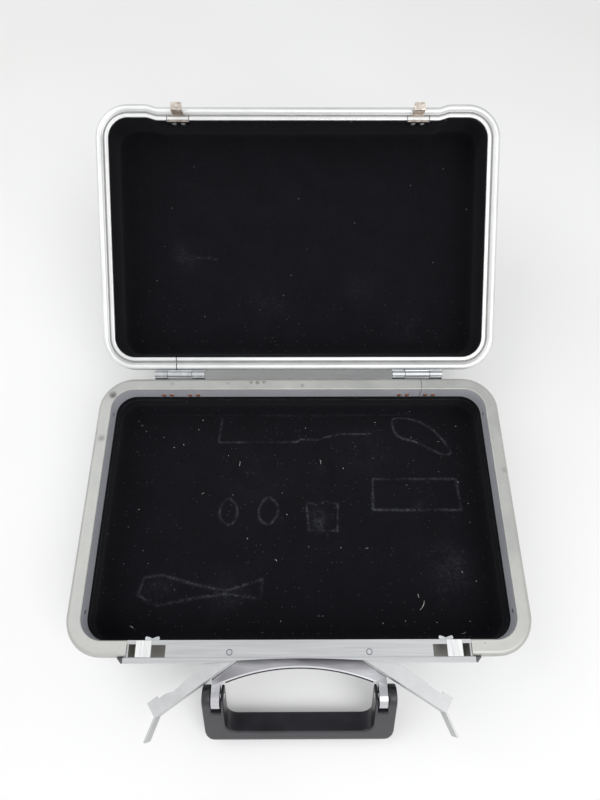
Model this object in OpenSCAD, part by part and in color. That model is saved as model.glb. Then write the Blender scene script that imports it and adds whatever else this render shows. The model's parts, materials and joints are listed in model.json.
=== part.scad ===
// Hard tool case, lying open: two drawn aluminium shells, each edged by a closure frame,
// two hinges behind, two swinging latch levers and a U-shaped handle in front.
// Origin at the middle of the base's flat underside, +Z up, front at -Y. Millimetres.

/* [Case] */
// Width over the closure frames
case_w = 362; // [342:5:402]
// Depth over the closure frames, front to back
case_d = 236; // [220:4:260]
// Height of the base, from the table to its rim
base_h = 70; // [68:1:74]
// Depth of the lid, from its rim to its top
lid_h = 45; // [44:1:60]
// Plan radius of the case corners
corner_r = 30; // [28:1:40]
// Sheet thickness of the drawn shells
shell_t = 1.2; // [1:0.1:1.6]
// Radius of the drawn edge round each shell's flat face
edge_r = 20; // [14:1:22]
// Angle by which the lid leans back above level when fully open
lid_lean = 31; // [25:1:60]

/* [Closure frames] */
// Width of the base frame's top face
rim_w = 12; // [11.5:0.5:13]
// Width of the lid frame's beaded face
lid_rim_w = 12; // [12:0.5:13]
// Wall of both frame extrusions
frame_t = 1.5; // [1.3:0.1:1.7]
// Height of the frames' two legs
leg_h = 15.5; // [15.5:0.5:18]
// Radius of the base frame's outer top edge
rim_round = 4; // [3:0.5:4.5]
// Radius of the lid frame's outer bead
bead_r = 3.4; // [3:0.2:3.6]
// Depth of the groove between the lid frame's two beads
groove_d = 1.5; // [1:0.1:1.8]
// Gap between the two rims when the case is shut
rim_gap = 0.3; // [0.3:0.05:0.6]
// Distance of each frame's butt joint from the case's side
seam_side = 68; // [66.5:0.5:69.5]
// Open joint where the ends of each frame meet
seam_gap = 0.3; // [0.2:0.1:0.5]
// How far the lid's front is set back behind the latches
jog_d = 2.6; // [2:0.2:3.2]
// Length of each slanted step at the ends of the lid's set-back
jog_len = 12; // [10:1:16]
// Distance from the start of the case's corner to the outer end of the step
jog_end = 15; // [14:0.5:18]

/* [Linings] */
// Depth of the base's felt floor below the rim
base_pocket = 42; // [36:1:46]
// Depth of the lid's felt floor below its rim
lid_pocket = 38; // [34:1:40]
// Thickness of the felt lining
felt_t = 1.5; // [1:0.1:1.5]
// Radius where each lining's wall turns into its floor
felt_r = 8; // [6:1:9]

/* [Hinges] */
// Distance of each hinge's middle from the case's side
hinge_side = 71; // [66:1:76]
// Length of each hinge
hinge_len = 46; // [42:1:50]
// Outside diameter of the hinge knuckles
knuckle_d = 5.6; // [5:0.2:6.4]
// Distance of the hinge axis behind the rims
hinge_out = 3.75; // [3.4:0.05:3.9]
// Diameter of the hinge pins
pin_d = 2.4; // [2:0.1:2.8]
// Thickness of the hinge leaves
leaf_t = 1.2; // [1:0.1:1.4]
// Spacing of the two rivets of a pair
rivet_pair = 7.3; // [6.6:0.1:8]
// Distance between the middles of a hinge's two rivet pairs
rivet_span = 24.4; // [22:0.2:26]
// Depth of the hinge rivets below the rim
rivet_drop = 12.4; // [11.5:0.1:12.8]

/* [Latches] */
// Distance of each hook and window from the case's side
latch_side = 74.2; // [73:0.2:77]
// Distance from each lever's pivot to its hook
lever_hook = 53.9; // [52:0.1:55]
// Distance of the lever pivots behind the front edge
lever_in = 3.4; // [3:0.1:3.8]
// Length of a lever from its pivot to its square end
lever_len = 68; // [67:0.5:72]
// Width of a lever's top flange
lever_w = 11.5; // [11:0.1:11.6]
// Height of a lever, with its front flange
lever_h = 15; // [12:0.5:15]
// Sheet thickness of the levers
lever_t = 1.4; // [1.2:0.1:1.5]
// How far a lever's front flange leans outwards at its lower edge
lever_flare = 0.6; // [0:0.1:2.6]
// Length of a lever's bent finger tab
tab_len = 18; // [14:0.5:20]
// Angle of the finger tab to its lever
tab_bend = 36; // [25:1:38]
// Angle of the left lever when swung fully open
open_left = 34; // [28:0.5:36]
// Angle of the right lever when swung fully open
open_right = 31.5; // [28:0.5:36]
// Width of a lid hook's upright
hook_w = 9.6; // [8:0.2:10]
// Width of a lid hook's riveted plate
hook_plate_w = 19.5; // [18:0.5:22]
// Reach of a lid hook above the lid's rim
hook_reach = 6.8; // [5.7:0.1:7]
// Distance from the start of the case's corner to the end of the channel's front lip
lip_end = 18; // [17:0.5:19]
// How far the lip is bowed inwards at its middle
lip_bow = 3.3; // [1:0.1:3.6]
// Half length of the lip's bowed part
lip_bow_x = 70; // [60:1:80]
// Distance from the start of the case's corner to the end of the channel's body
channel_end = 20.1; // [19.6:0.1:21]
// Height of the latch channel
channel_h = 20.2; // [20.2:0.2:21]

/* [Handle] */
// Width over the handle
grip_w = 150; // [146:1:152]
// Distance from the handle's pivots to the grip's outer face
grip_reach = 49; // [46:0.5:49]
// Thickness of the handle, from one flat face to the other
grip_t = 17; // [15:0.5:17]
// Width of the grip bar between the fingers and its outer face
grip_bar = 15; // [13:0.5:16]
// Distance of the handle's pivots in front of the case
pivot_out = 27.2; // [26.5:0.1:29]
// Depth of the handle's pivots below the rim
pivot_drop = 27; // [26.6:0.1:28]
// Space left under the drooping handle
table_gap = 0.3; // [0.3:0.1:2]
// Thickness of the handle's outer cheeks
outer_cheek_t = 7.05; // [6.5:0.05:8]
// Thickness of the bracket lugs
lug_t = 6.5; // [5.5:0.1:7]
// Diameter of the handle pins
handle_pin_d = 5; // [4:0.2:6]

/* [Hidden] */
$fn = 48;

// Small clearances: parts that are fixed together, parts that run, parts that pass
fix_gap = 0.05;
run_gap = 0.06;
pass_gap = 0.3;
// The padding stands a little clear of the walls, and clearer of their curves
foam_gap = 0.25;
foam_ease = 1;
eps = 0.01;
// Sides of the arcs in the swept sections
ARC_N = 8;

front = -case_d / 2;
back = case_d / 2;
rim_z = base_h;
// Where the straight part of the front ends, and where the hinges and latches go across
straight_x = case_w / 2 - corner_r;
hinge_x = case_w / 2 - hinge_side;
latch_x = case_w / 2 - latch_side;
lever_x = latch_x - lever_hook;
seam_x = case_w / 2 - seam_side;
jog_x = straight_x - jog_end;
lip_x = straight_x - lip_end;
channel_x = straight_x - channel_end;

// Inward distances from the case's outer edge
shell_x = frame_t + fix_gap;
base_leg_x = rim_w - frame_t;
lid_leg_x = lid_rim_w - frame_t;
base_felt_x = base_leg_x + fix_gap;
lid_felt_x = lid_rim_w + fix_gap;
// Where the swept sections stop and the flat floors take over
floor_x = 25;
floor_lap = 0.5;
// How far the shells stand up inside the frames
shell_top = 5.2;

// Hinge axis, just behind the rims and midway between them
axis_y = back + hinge_out;
axis_z = rim_z + rim_gap / 2;
side_knuckle = hinge_len / 4;
knuckle_gap = 0.3;
leaf_h = 16;

// The step of the lid's front, a smooth S made of this many short pieces
JOG_N = 6;
jog_in = jog_x - jog_len;

// Latch channel, measured in from the front edge or down from the rim
sheet_t = 1.2;
channel_back = base_leg_x - fix_gap;
lip_out = 4.2;
bow_r = (pow(lip_bow_x, 2) + pow(lip_bow, 2)) / (2 * lip_bow);
window_w = 10.8;
window_in = 8.6;
window_out = 0.4;
keeper_x0 = latch_x + window_w / 2 + fix_gap;
keeper_x1 = keeper_x0 + 11.8;
cut_x = channel_x + 0.2;

// Levers
lever_top = 2.6;
pivot_y = front + lever_in;
lever_front = 6.7;
lever_end_r = 4.7;
notch_x = lever_hook;
notch_w = 12;
notch_d = 2;
// How far before a lever's end its tab bends off
tab_start = 1;
// Where the tapered cut before a notch begins, and how deep it is on each lever
taper_x = 18;
left_taper_d = 4;
right_taper_d = 1;
lever_slot_x = 35.5;
lever_slot_len = 6.5;
lever_slot_h = 2.6;
lever_slot_drop = 6;
rivet_shank_r = 1.6;
rivet_head_r = 2.2;
bush_r = 3;

// Lid hooks
hook_t = 1.2;
hook_in = 1.9;
hook_lip = 6.8;
hook_drop = 8;

// Handle bracket and handle
plate_t = 2;
flange_t = 1.6;
plate_top = rim_z - channel_h - fix_gap;
slot_w = lug_t + 2 * pass_gap;
lug_x = grip_w / 2 - outer_cheek_t - slot_w / 2;
horn_in = 6.9;
horn_x = lug_x - horn_in;
horn_y = front - 17.2;
arch_y = front - 7.2;
arch_r = (pow(horn_x, 2) + pow(arch_y - horn_y, 2)) / (2 * (arch_y - horn_y));
lug_r = 9;
grip_edge_r = 6;
grip_corner_r = 14;
cheek_t = 2.6;
cheek_top = 4.5;
slot_end = lug_r + 1.2;
cheek_in = lug_x - slot_w / 2 - cheek_t;
grip_inner_r = 9;
pin_hide = 1;
pivot_z = rim_z - pivot_drop;
handle_y = front - pivot_out;
// The angle below level at which the grip's rounded corner comes down to the table
grip_far = grip_reach - grip_edge_r;
grip_off = grip_t / 2 - grip_edge_r;
droop = asin(min(1, (pivot_z - table_gap - grip_edge_r) / norm([grip_far, grip_off]))) - atan(grip_off / grip_far);

// Points of an arc, from angle a0 to angle a1
function arc(cx, cy, r, a0, a1) =
  [for (i = [0:ARC_N]) let (a = a0 + (a1 - a0) * i / ARC_N) [cx + r * cos(a), cy + r * sin(a)]];

// Points rounded to a thousandth of a millimetre, so that neighbouring pieces meet exactly
function snap(v) = round(v * 1000) / 1000;
function snapped(points) = [for (p = points) [snap(p[0]), snap(p[1])]];

// Section of a tray's wall and floor edge: outer face at x0, outer radius r, wall t
function tray(x0, top, bottom, r, t) = snapped(concat(
  [[x0, top]], arc(x0 + r, bottom + r, r, 180, 270), [[floor_x, bottom], [floor_x, bottom + t]],
  arc(x0 + r, bottom + r, r - t, 270, 180), [[x0 + t, top]]));

// Section of the filling between a shell and a lining
function fill(x0, top, bottom, r, x1, bottom1, r1) = snapped(concat(
  [[x0, top]], arc(x0 + r, bottom + r, r, 180, 270), [[floor_x, bottom], [floor_x, bottom1]],
  arc(x1 + r1, bottom1 + r1, r1, 270, 180), [[x1, top]]));

// Section of the base frame: an upturned channel with a rounded outer edge
function base_frame_section() = snapped(concat(
  [[0, -leg_h]], arc(rim_round, -rim_round, rim_round, 180, 90),
  arc(rim_w - 0.6, -0.6, 0.6, 90, 0), [[rim_w, -leg_h], [base_leg_x, -leg_h], [base_leg_x, -frame_t]],
  arc(rim_round, -rim_round, rim_round - frame_t, 90, 180), [[frame_t, -leg_h]]));

// Section of the lid frame: a round outer bead, a groove and a narrow inner bead
function lid_frame_section() = let (lip = lid_rim_w - 12, g = 7.4 + lip, roof = groove_d + frame_t) snapped(concat(
  [[0, -leg_h]], arc(bead_r, -bead_r, bead_r, 180, 50),
  [[g - 0.7, -groove_d], [g + 0.5, -groove_d]],
  arc(g + 1.9, -0.9, 0.9, 150, 90), arc(lid_rim_w - 0.9, -0.9, 0.9, 90, 0),
  [[lid_rim_w, -leg_h], [lid_leg_x, -leg_h], [lid_leg_x, -roof], [bead_r + 1, -roof],
   [frame_t, -roof - 1.6], [frame_t, -leg_h]]));

// A straight run of a section along +X, its outer edge towards -Y
module run(len, section) { rotate([90, 0, 90]) linear_extrude(len) polygon(section); }

// Twice the area inside a ring of points, positive if they run anticlockwise
function turn(v) = let (n = len(v))
  [for (i = [0:n - 1]) let (a = v[i], b = v[(i + 1) % n]) a[0] * b[1] - a[1] * b[0]] * [for (i = [0:n - 1]) 1];

// A section split into convex pieces: first a strip with as many points outside as inside
function strip_caps(n) = [for (i = [0:n / 2 - 2]) [i, i + 1, n - 2 - i, n - 1 - i]];

// The lid frame's section split into convex pieces, b being the end of its outer bead
function lid_frame_caps(n) = let (b = ARC_N + 1) concat(
  [[0, 1, n - 2, n - 1]], [for (i = [1:ARC_N]) [n - 2, i, i + 1]],
  [[n - 2, b, n - 3], [n - 3, b, b + 1], [n - 3, b + 1, b + 2], [n - 3, b + 2, n - 4]],
  [for (i = [b + 2:n - 8]) [n - 4, i, i + 1]], [[n - 4, n - 7, n - 6], [n - 4, n - 6, n - 5]]);

function flipped(faces) = [for (f = faces) [for (i = [len(f) - 1:-1:0]) f[i]]];

// A section carried along +X from x0 to x1 while it moves in a smooth S from y0 to y1
module s_run(x0, y0, x1, y1, section, caps) {
  n = len(section);
  points = [for (k = [0:JOG_N], p = section) let (t = k / JOG_N)
    [snap(x0 + (x1 - x0) * t), snap(p[0] + y0 + (y1 - y0) * t * t * (3 - 2 * t)), p[1]]];
  sides = [for (k = [0:JOG_N - 1], i = [0:n - 1]) let (j = (i + 1) % n)
    [k * n + i, (k + 1) * n + i, (k + 1) * n + j, k * n + j]];
  far_caps = [for (f = flipped(caps)) [for (i = f) JOG_N * n + i]];
  faces = concat(caps, far_caps, sides);
  polyhedron(points, turn(section) > 0 ? faces : flipped(faces));
}

// The section carried round a plain rounded rectangle, apart from its front run
module three_sides(section) {
  sx = case_w / 2 - corner_r;
  sy = case_d / 2 - corner_r;
  translate([sx, back, 0]) rotate([0, 0, 180]) run(2 * sx, section);
  translate([case_w / 2, -sy, 0]) rotate([0, 0, 90]) run(2 * sy, section);
  translate([-case_w / 2, sy, 0]) rotate([0, 0, -90]) run(2 * sy, section);
  for (c = [[sx, sy, 0], [-sx, sy, 90], [-sx, -sy, 180], [sx, -sy, 270]])
    translate([c[0], c[1], 0]) rotate([0, 0, c[2]]) rotate_extrude(angle = 90)
      polygon([for (p = section) [corner_r - p[0], p[1]]]);
}

// The base's path: a plain rounded rectangle
module base_path(section) {
  three_sides(section);
  translate([corner_r - case_w / 2, front, 0]) run(case_w - 2 * corner_r, section);
}

// The lid's path: the same, with its front set back between two S-shaped steps
module lid_path(section, caps) {
  three_sides(section);
  translate([-jog_in, front + jog_d, 0]) run(2 * jog_in, section);
  mirrored() translate([0, front, 0]) {
    translate([jog_x, 0, 0]) run(case_w / 2 - corner_r - jog_x, section);
    s_run(jog_in, jog_d, jog_x, 0, section, caps);
  }
}

module lid_strip(section) { lid_path(section, strip_caps(len(section))); }

// A flat floor that joins the swept sections, between heights z0 and z1
module floor_slab(z0, z1) {
  inset = floor_x - floor_lap;
  sx = case_w / 2 - corner_r;
  sy = case_d / 2 - corner_r;
  r = corner_r - inset;
  translate([0, 0, z0]) linear_extrude(z1 - z0) polygon(concat(
    arc(sx, sy, r, 0, 90), arc(-sx, sy, r, 90, 180), arc(-sx, -sy, r, 180, 270), arc(sx, -sy, r, 270, 360)));
}

module mirrored() { for (m = [0, 1]) mirror([m, 0, 0]) children(); }

// The lid is drawn lying on its back beside the hinge axis, then tilted to where it rests
module place_lid() {
  translate([0, axis_y, axis_z]) rotate([lid_lean, 0, 0])
    translate([0, hinge_out + case_d / 2, -rim_gap / 2]) rotate([0, 0, 180]) children();
}

// A rod along Y from y0 to y1
module rod_y(r, y0, y1) { translate([0, y1, 0]) rotate([90, 0, 0]) cylinder(r = r, h = y1 - y0); }

// A round-headed rivet along +Y: a shank of length len and a low head before the origin
module rivet_y(r, head_r, head_h, len) {
  rod_y(r, -eps, len);
  rotate([90, 0, 0]) rotate_extrude() intersection() {
    translate([0, head_h - (head_r * head_r + head_h * head_h) / (2 * head_h)])
      circle(r = (head_r * head_r + head_h * head_h) / (2 * head_h));
    square([head_r, head_h]);
  }
}

// Where the hinge rivets go across each hinge
RIVET_XS = [for (s = [-1, 1], p = [-1, 1], q = [-1, 1])
  s * hinge_x + p * rivet_span / 2 + q * rivet_pair / 2];
RIVET_R = 1.5;
COPPER_HEAD = 2.3;

// Where the small frame rivets go: on the two sides, a little way before the corners
FRAME_RIVET_END = 3;
FRAME_RIVET_DROP = 8;
FRAME_RIVET_R = 1.2;
FRAME_RIVET_HEAD = 1.8;

module at_hinge_rivets(inward) {
  for (x = RIVET_XS) translate([x, back - inward, -rivet_drop]) children();
}

module at_frame_rivets(inward) {
  for (s = [-1, 1], t = [-1, 1]) rotate([0, 0, -s * 90])
    translate([t * (case_d / 2 - corner_r - FRAME_RIVET_END), case_w / 2 - inward, -FRAME_RIVET_DROP]) children();
}

// The space that the latch channel takes out of the front of the base
module channel_cut() {
  translate([-cut_x, front - 1, rim_z - channel_h - 2 * fix_gap])
    cube([2 * cut_x, channel_back + 1, channel_h + 1]);
}

module base_shell() color("silver") difference() {
  translate([0, 0, rim_z]) {
    base_path(tray(shell_x, -shell_top, -base_h, edge_r, shell_t));
    floor_slab(-base_h, shell_t - base_h);
  }
  channel_cut();
  translate([0, 0, rim_z]) at_hinge_rivets(-1) rotate([0, 0, 180]) rod_y(RIVET_R + fix_gap, 0, 2 * rim_w);
  bracket_holes();
}

module base_frame() color("lightgray") difference() {
  translate([0, 0, rim_z]) base_path(base_frame_section());
  channel_cut();
  translate([-cut_x, front - 1, rim_z - sheet_t - fix_gap]) cube([2 * cut_x, rim_w + 2, 2 * sheet_t]);
  translate([seam_x, back - 2 * rim_w, rim_z - leg_h - 1]) cube([seam_gap, 3 * rim_w, leg_h + 2]);
  translate([0, 0, rim_z]) at_hinge_rivets(-1) rotate([0, 0, 180]) rod_y(RIVET_R + fix_gap, 0, 2 * rim_w);
  translate([0, 0, rim_z]) at_frame_rivets(rim_w + 1) rod_y(FRAME_RIVET_R + fix_gap, 0, 4);
}

module base_foam() color("dimgray") difference() {
  translate([0, 0, rim_z]) {
    base_path(fill(shell_x + shell_t + foam_gap, -leg_h - fix_gap, shell_t + fix_gap - base_h,
      edge_r - shell_t + foam_ease, base_felt_x - foam_gap, -base_pocket - felt_t - fix_gap,
      felt_r + felt_t - foam_ease));
    floor_slab(shell_t + fix_gap - base_h, -base_pocket - felt_t - fix_gap);
  }
  channel_cut();
  at_bracket_rivets() rod_y(BRACKET_TAIL_R + fix_gap, 0, flange_t + shell_t + 2);
}

module base_lining() color("#141416") translate([0, 0, rim_z]) {
  base_path(tray(base_felt_x, -leg_h - fix_gap, -base_pocket - felt_t, felt_r + felt_t, felt_t));
  floor_slab(-base_pocket - felt_t, -base_pocket);
}

module base_frame_rivets() color("gainsboro") translate([0, 0, rim_z])
  at_frame_rivets(rim_w + fix_gap) rivet_y(FRAME_RIVET_R, FRAME_RIVET_HEAD, 0.7, frame_t + 1);

// Half of a hinge, drawn on the base side: knuckles on the axis and a plate below them
module leaf(knuckles, gaps) difference() {
  union() {
    for (k = knuckles) translate([k[0], 0, 0]) rotate([0, 90, 0]) cylinder(d = knuckle_d, h = k[1] - k[0]);
    translate([-hinge_len / 2, -hinge_out, -leaf_h]) cube([hinge_len, leaf_t, leaf_h]);
    translate([-hinge_len / 2, -hinge_out, -knuckle_d / 2]) cube([hinge_len, hinge_out, leaf_t]);
  }
  for (g = gaps) translate([g[0], -2 * hinge_out, -knuckle_d / 2 - 0.6])
    cube([g[1] - g[0], 4 * hinge_out, knuckle_d + 1]);
  translate([-hinge_len, 0, 0]) rotate([0, 90, 0]) cylinder(d = pin_d, h = 2 * hinge_len);
}

inner_k = hinge_len / 2 - side_knuckle;
BASE_KNUCKLES = [[-hinge_len / 2, -inner_k], [inner_k, hinge_len / 2]];
LID_KNUCKLES = [[-inner_k + knuckle_gap, inner_k - knuckle_gap]];

module base_leaf(s) color("lightgray") difference() {
  translate([s * hinge_x, axis_y, axis_z]) leaf(BASE_KNUCKLES, [[-inner_k, inner_k]]);
  translate([0, 0, rim_z]) at_hinge_rivets(-knuckle_d) rotate([0, 0, 180]) rod_y(RIVET_R + fix_gap, 0, 2 * knuckle_d);
}
module hinge_base_leaf_left() { base_leaf(-1); }
module hinge_base_leaf_right() { base_leaf(1); }

module hinge_pin(s) color("gray")
  translate([s * hinge_x - hinge_len / 2 - 0.5, axis_y, axis_z]) rotate([0, 90, 0])
    cylinder(d = pin_d, h = hinge_len + 1);
module hinge_pin_left() { hinge_pin(-1); }
module hinge_pin_right() { hinge_pin(1); }

// From the head inside the frame to the tail on the hinge leaf
module hinge_rivet(inward) {
  rivet_y(RIVET_R, COPPER_HEAD, 1, inward + leaf_t);
  translate([0, inward + leaf_t - eps, 0]) rod_y(COPPER_HEAD - 0.3, 0, 0.6);
}

module hinge_base_rivets() color("#b4724a") translate([0, 0, rim_z]) at_hinge_rivets(rim_w) hinge_rivet(rim_w);

module latch_channel() color("silver") difference() {
  union() {
    translate([-channel_x, front - lip_out + 1, rim_z - sheet_t]) cube([2 * channel_x, rim_w + lip_out - 1, sheet_t]);
    translate([-lip_x, front - lip_out, rim_z - sheet_t]) cube([2 * lip_x, lip_out - fix_gap, sheet_t]);
    translate([-lip_x, front - lip_out + sheet_t / 2, rim_z - sheet_t]) rotate([0, 90, 0])
      cylinder(d = sheet_t, h = 2 * lip_x);
    translate([-channel_x, front + channel_back - sheet_t, rim_z - channel_h])
      cube([2 * channel_x, sheet_t, channel_h]);
    translate([-channel_x, front + fix_gap, rim_z - channel_h])
      cube([2 * channel_x, channel_back - fix_gap, sheet_t]);
    mirrored() translate([channel_x - sheet_t, front + fix_gap, rim_z - channel_h])
      cube([sheet_t, channel_back - fix_gap, channel_h]);
  }
  translate([0, front - lip_out + lip_bow - bow_r, rim_z - 2 * sheet_t]) cylinder(r = bow_r, h = 3 * sheet_t, $fn = 400);
  mirrored() {
    translate([latch_x - window_w / 2, front - window_out, rim_z - 2 * sheet_t])
      cube([window_w, window_in + window_out, 4 * sheet_t]);
    translate([latch_x + window_w / 2 - eps, front, rim_z - sheet_t - eps])
      cube([channel_x - latch_x, channel_back - sheet_t, 2 * sheet_t]);
    translate([latch_x + window_w / 2 - eps, front + channel_back - sheet_t - eps, rim_z - sheet_t])
      cube([keeper_x1 - latch_x - window_w / 2, rim_w, 2 * sheet_t]);
    translate([lever_x, pivot_y, rim_z - 2 * channel_h]) cylinder(r = rivet_shank_r + fix_gap, h = 3 * channel_h);
    translate([lever_x, pivot_y, rim_z - sheet_t / 2]) cylinder(r = rivet_head_r + fix_gap, h = sheet_t);
    translate([lever_x, pivot_y, rim_z - channel_h - sheet_t / 2]) cylinder(r = rivet_head_r + fix_gap, h = sheet_t);
  }
}

// Plate between a window and the open end of the channel, flush with the rim
module keeper_plate(s) color("gainsboro")
  translate([s > 0 ? keeper_x0 : -keeper_x1, front + fix_gap, rim_z - sheet_t + fix_gap])
    cube([keeper_x1 - keeper_x0 - fix_gap, rim_w - fix_gap, sheet_t - fix_gap]);
module keeper_plate_left() { keeper_plate(-1); }
module keeper_plate_right() { keeper_plate(1); }

// Spring clip on the frame's inner leg, with two curled ears over the felt
SPRING_T = 0.7;
SPRING_W = 11.4;
module hook_spring(s) color("gainsboro")
  translate([s * (latch_x + window_w / 2), front + rim_w + fix_gap, rim_z]) {
    translate([-SPRING_W / 4, 0, -9]) cube([SPRING_W / 2, SPRING_T, 9 - sheet_t]);
    for (m = [0, 1]) mirror([m, 0, 0]) translate([0, 0, -sheet_t - SPRING_T]) linear_extrude(SPRING_T)
      polygon([[-eps, 0], [SPRING_W / 2 - 0.6, 0], [SPRING_W / 2, 1.2], [SPRING_W / 2 - 0.8, 2.8], [2.4, 2.2], [-eps, 1.2]]);
  }
module hook_spring_left() { hook_spring(-1); }
module hook_spring_right() { hook_spring(1); }

// Dark end brackets that close the lip's two ends against the frame
module latch_end_brackets() color("#3a3a3a") mirrored()
  translate([lip_x + fix_gap, front, rim_z - leg_h]) rotate([0, 0, -90]) linear_extrude(leg_h - 1)
    polygon([[fix_gap, 0], [lip_out, 0], [lip_out, 1.4], [fix_gap, 5]]);

// The two lever rivets, their heads sunk flush in the channel's top and bottom
module lever_rivets() color("silver") mirrored() translate([lever_x, pivot_y, rim_z - channel_h]) {
  translate([0, 0, sheet_t / 4]) cylinder(r = rivet_shank_r, h = channel_h - sheet_t / 2);
  translate([0, 0, channel_h - sheet_t / 2 + fix_gap]) cylinder(r = rivet_head_r, h = sheet_t / 2 - fix_gap);
  cylinder(r = rivet_head_r, h = sheet_t / 2 - fix_gap);
}

// A tube round each lever rivet
module collars(z0, z1) mirrored() translate([lever_x, pivot_y, z0]) difference() {
  cylinder(r = bush_r, h = z1 - z0);
  translate([0, 0, -1]) cylinder(r = rivet_shank_r + fix_gap, h = z1 - z0 + 2);
}
module lever_washers() color("silver") collars(rim_z - lever_top + run_gap, rim_z - sheet_t - fix_gap);
module lever_bushes() color("silver") collars(rim_z - channel_h + sheet_t + fix_gap, rim_z - lever_top - lever_t - run_gap);

// Section of a lever's front flange, leaning outwards towards its lower edge
function flange_section(y) = [for (p = [[0, 0], [lever_t, 0], [lever_t, -lever_t],
  [lever_t - lever_flare, -lever_h], [-lever_flare, -lever_h], [0, -lever_t]]) [p[0] + y, p[1] - lever_top]];

// A lever drawn shut along +X from its pivot, with its front flange at -Y
module lever_shape(taper_d) {
  difference() {
    union() {
      translate([0, 0, -lever_top - lever_t]) linear_extrude(lever_t) union() {
        circle(r = lever_end_r);
        translate([0, -lever_front]) square([lever_len, lever_w]);
      }
      run(lever_len - tab_start, flange_section(-lever_front));
      translate([lever_len - tab_start, -lever_front, 0]) rotate([0, 0, -tab_bend]) translate([-0.4, 0, 0])
        run(tab_len, flange_section(0));
    }
    translate([0, lever_w - lever_front, -lever_top - lever_h]) linear_extrude(lever_h + 1) {
      translate([notch_x - notch_w / 2, -notch_d]) square([notch_w, 2 * notch_d]);
      polygon([[taper_x, 0], [notch_x - notch_w / 2, -taper_d], [notch_x, -max(notch_d, taper_d / 2)], [notch_x, 1], [taper_x, 1]]);
    }
    translate([0, 0, -2 * lever_h]) cylinder(r = rivet_shank_r + run_gap, h = 3 * lever_h);
    translate([lever_slot_x, -lever_front - lever_flare, -lever_top - lever_slot_drop])
      cube([lever_slot_len, lever_t + lever_flare, lever_slot_h]);
  }
}

module latch_lever_left() color("lightgray")
  translate([-lever_x, pivot_y, rim_z]) rotate([0, 0, open_left]) mirror([1, 0, 0]) lever_shape(left_taper_d);
module latch_lever_right() color("lightgray")
  translate([lever_x, pivot_y, rim_z]) rotate([0, 0, -open_right]) lever_shape(right_taper_d);

// The chromed bracket: arch plate, riveted flange and two lugs
BRACKET_FLANGE_H = 18;
BRACKET_RIVET_R = 2;
BRACKET_TAIL_R = 3;
plate_back = front + shell_x - fix_gap;
lug_side = lug_x + lug_t / 2;
lug_root = 3;

module at_bracket_rivets() {
  for (k = [-1.5:1.5]) translate([k * lug_side / 2, plate_back - flange_t, plate_top - plate_t - BRACKET_FLANGE_H / 2]) children();
}
module bracket_holes() {
  at_bracket_rivets() rod_y(BRACKET_RIVET_R + fix_gap, -1, flange_t + shell_t + 3);
}

module lug_outline() {
  circle(r = lug_r);
  polygon([[0, lug_r], [0, -lug_r], [-(handle_y - plate_back) - lug_r - lug_root, -lug_r], [-(handle_y - plate_back), -lug_r - lug_root],
    [-(handle_y - plate_back), plate_top - pivot_z - eps], [-(handle_y - plate_back) - BRACKET_FLANGE_H + flange_t, plate_top - pivot_z - eps]]);
}

module handle_bracket() color("#c9c9cf") difference() {
  union() {
    translate([0, 0, plate_top - plate_t]) linear_extrude(plate_t) difference() {
      translate([-lug_side, horn_y]) square([2 * lug_side, plate_back - horn_y]);
      translate([0, arch_y - arch_r]) circle(r = arch_r, $fn = 200);
    }
    translate([0, 0, plate_top - 5]) linear_extrude(5) intersection() {
      difference() {
        translate([0, arch_y - arch_r]) circle(r = arch_r + flange_t, $fn = 200);
        translate([0, arch_y - arch_r]) circle(r = arch_r, $fn = 200);
      }
      translate([-horn_x - 3, horn_y]) square([2 * horn_x + 6, plate_back - horn_y]);
    }
    translate([-lug_side, plate_back - flange_t, plate_top - BRACKET_FLANGE_H])
      cube([2 * lug_side, flange_t, BRACKET_FLANGE_H]);
    mirrored() translate([lug_x - lug_t / 2, handle_y, pivot_z]) rotate([90, 0, 90]) linear_extrude(lug_t)
      lug_outline();
  }
  translate([-grip_w, handle_y, pivot_z]) rotate([0, 90, 0]) cylinder(d = handle_pin_d + 2 * run_gap, h = 2 * grip_w);
  bracket_holes();
}

module bracket_rivets() color("silver") at_bracket_rivets() {
  rivet_y(BRACKET_RIVET_R, 3.4, 1.2, flange_t + shell_t + 0.5);
  translate([0, flange_t + shell_t + fix_gap, 0]) rod_y(BRACKET_TAIL_R, 0, 1);
}

// Outline of a U's outer or inner edge: half width w, bottom at -y, top at top, corners of radius r
function u_edge(w, y, top, r) = concat(
  [[-w, top]], arc(r - w, r - y, r, 180, 270), arc(w - r, r - y, r, 270, 360), [[w, top]]);

// The handle drawn straight out: pivots on the X axis, the grip towards -Y
module grip_outline() difference() {
  polygon(u_edge(grip_w / 2, grip_reach, lug_r, grip_corner_r));
  polygon(u_edge(cheek_in, grip_reach - grip_bar, 2 * lug_r, grip_inner_r));
  mirrored() {
    translate([lug_x - slot_w / 2, -slot_end]) square([slot_w, 2 * grip_reach]);
    translate([cheek_in - eps, cheek_top]) square([cheek_t + 2 * eps, grip_reach]);
  }
}

// The handle's side view: round about the pivots, softly rounded at the grip
module grip_side() {
  half_t = grip_t / 2;
  circle(r = half_t);
  translate([grip_edge_r - grip_reach, -half_t]) square([grip_reach - grip_edge_r, grip_t]);
  translate([-grip_reach, grip_edge_r - half_t]) square([grip_reach, grip_t - 2 * grip_edge_r]);
  for (s = [-1, 1]) translate([grip_edge_r - grip_reach, s * (half_t - grip_edge_r)]) circle(r = grip_edge_r);
}

module place_handle() { translate([0, handle_y, pivot_z]) rotate([droop, 0, 0]) children(); }

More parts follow.
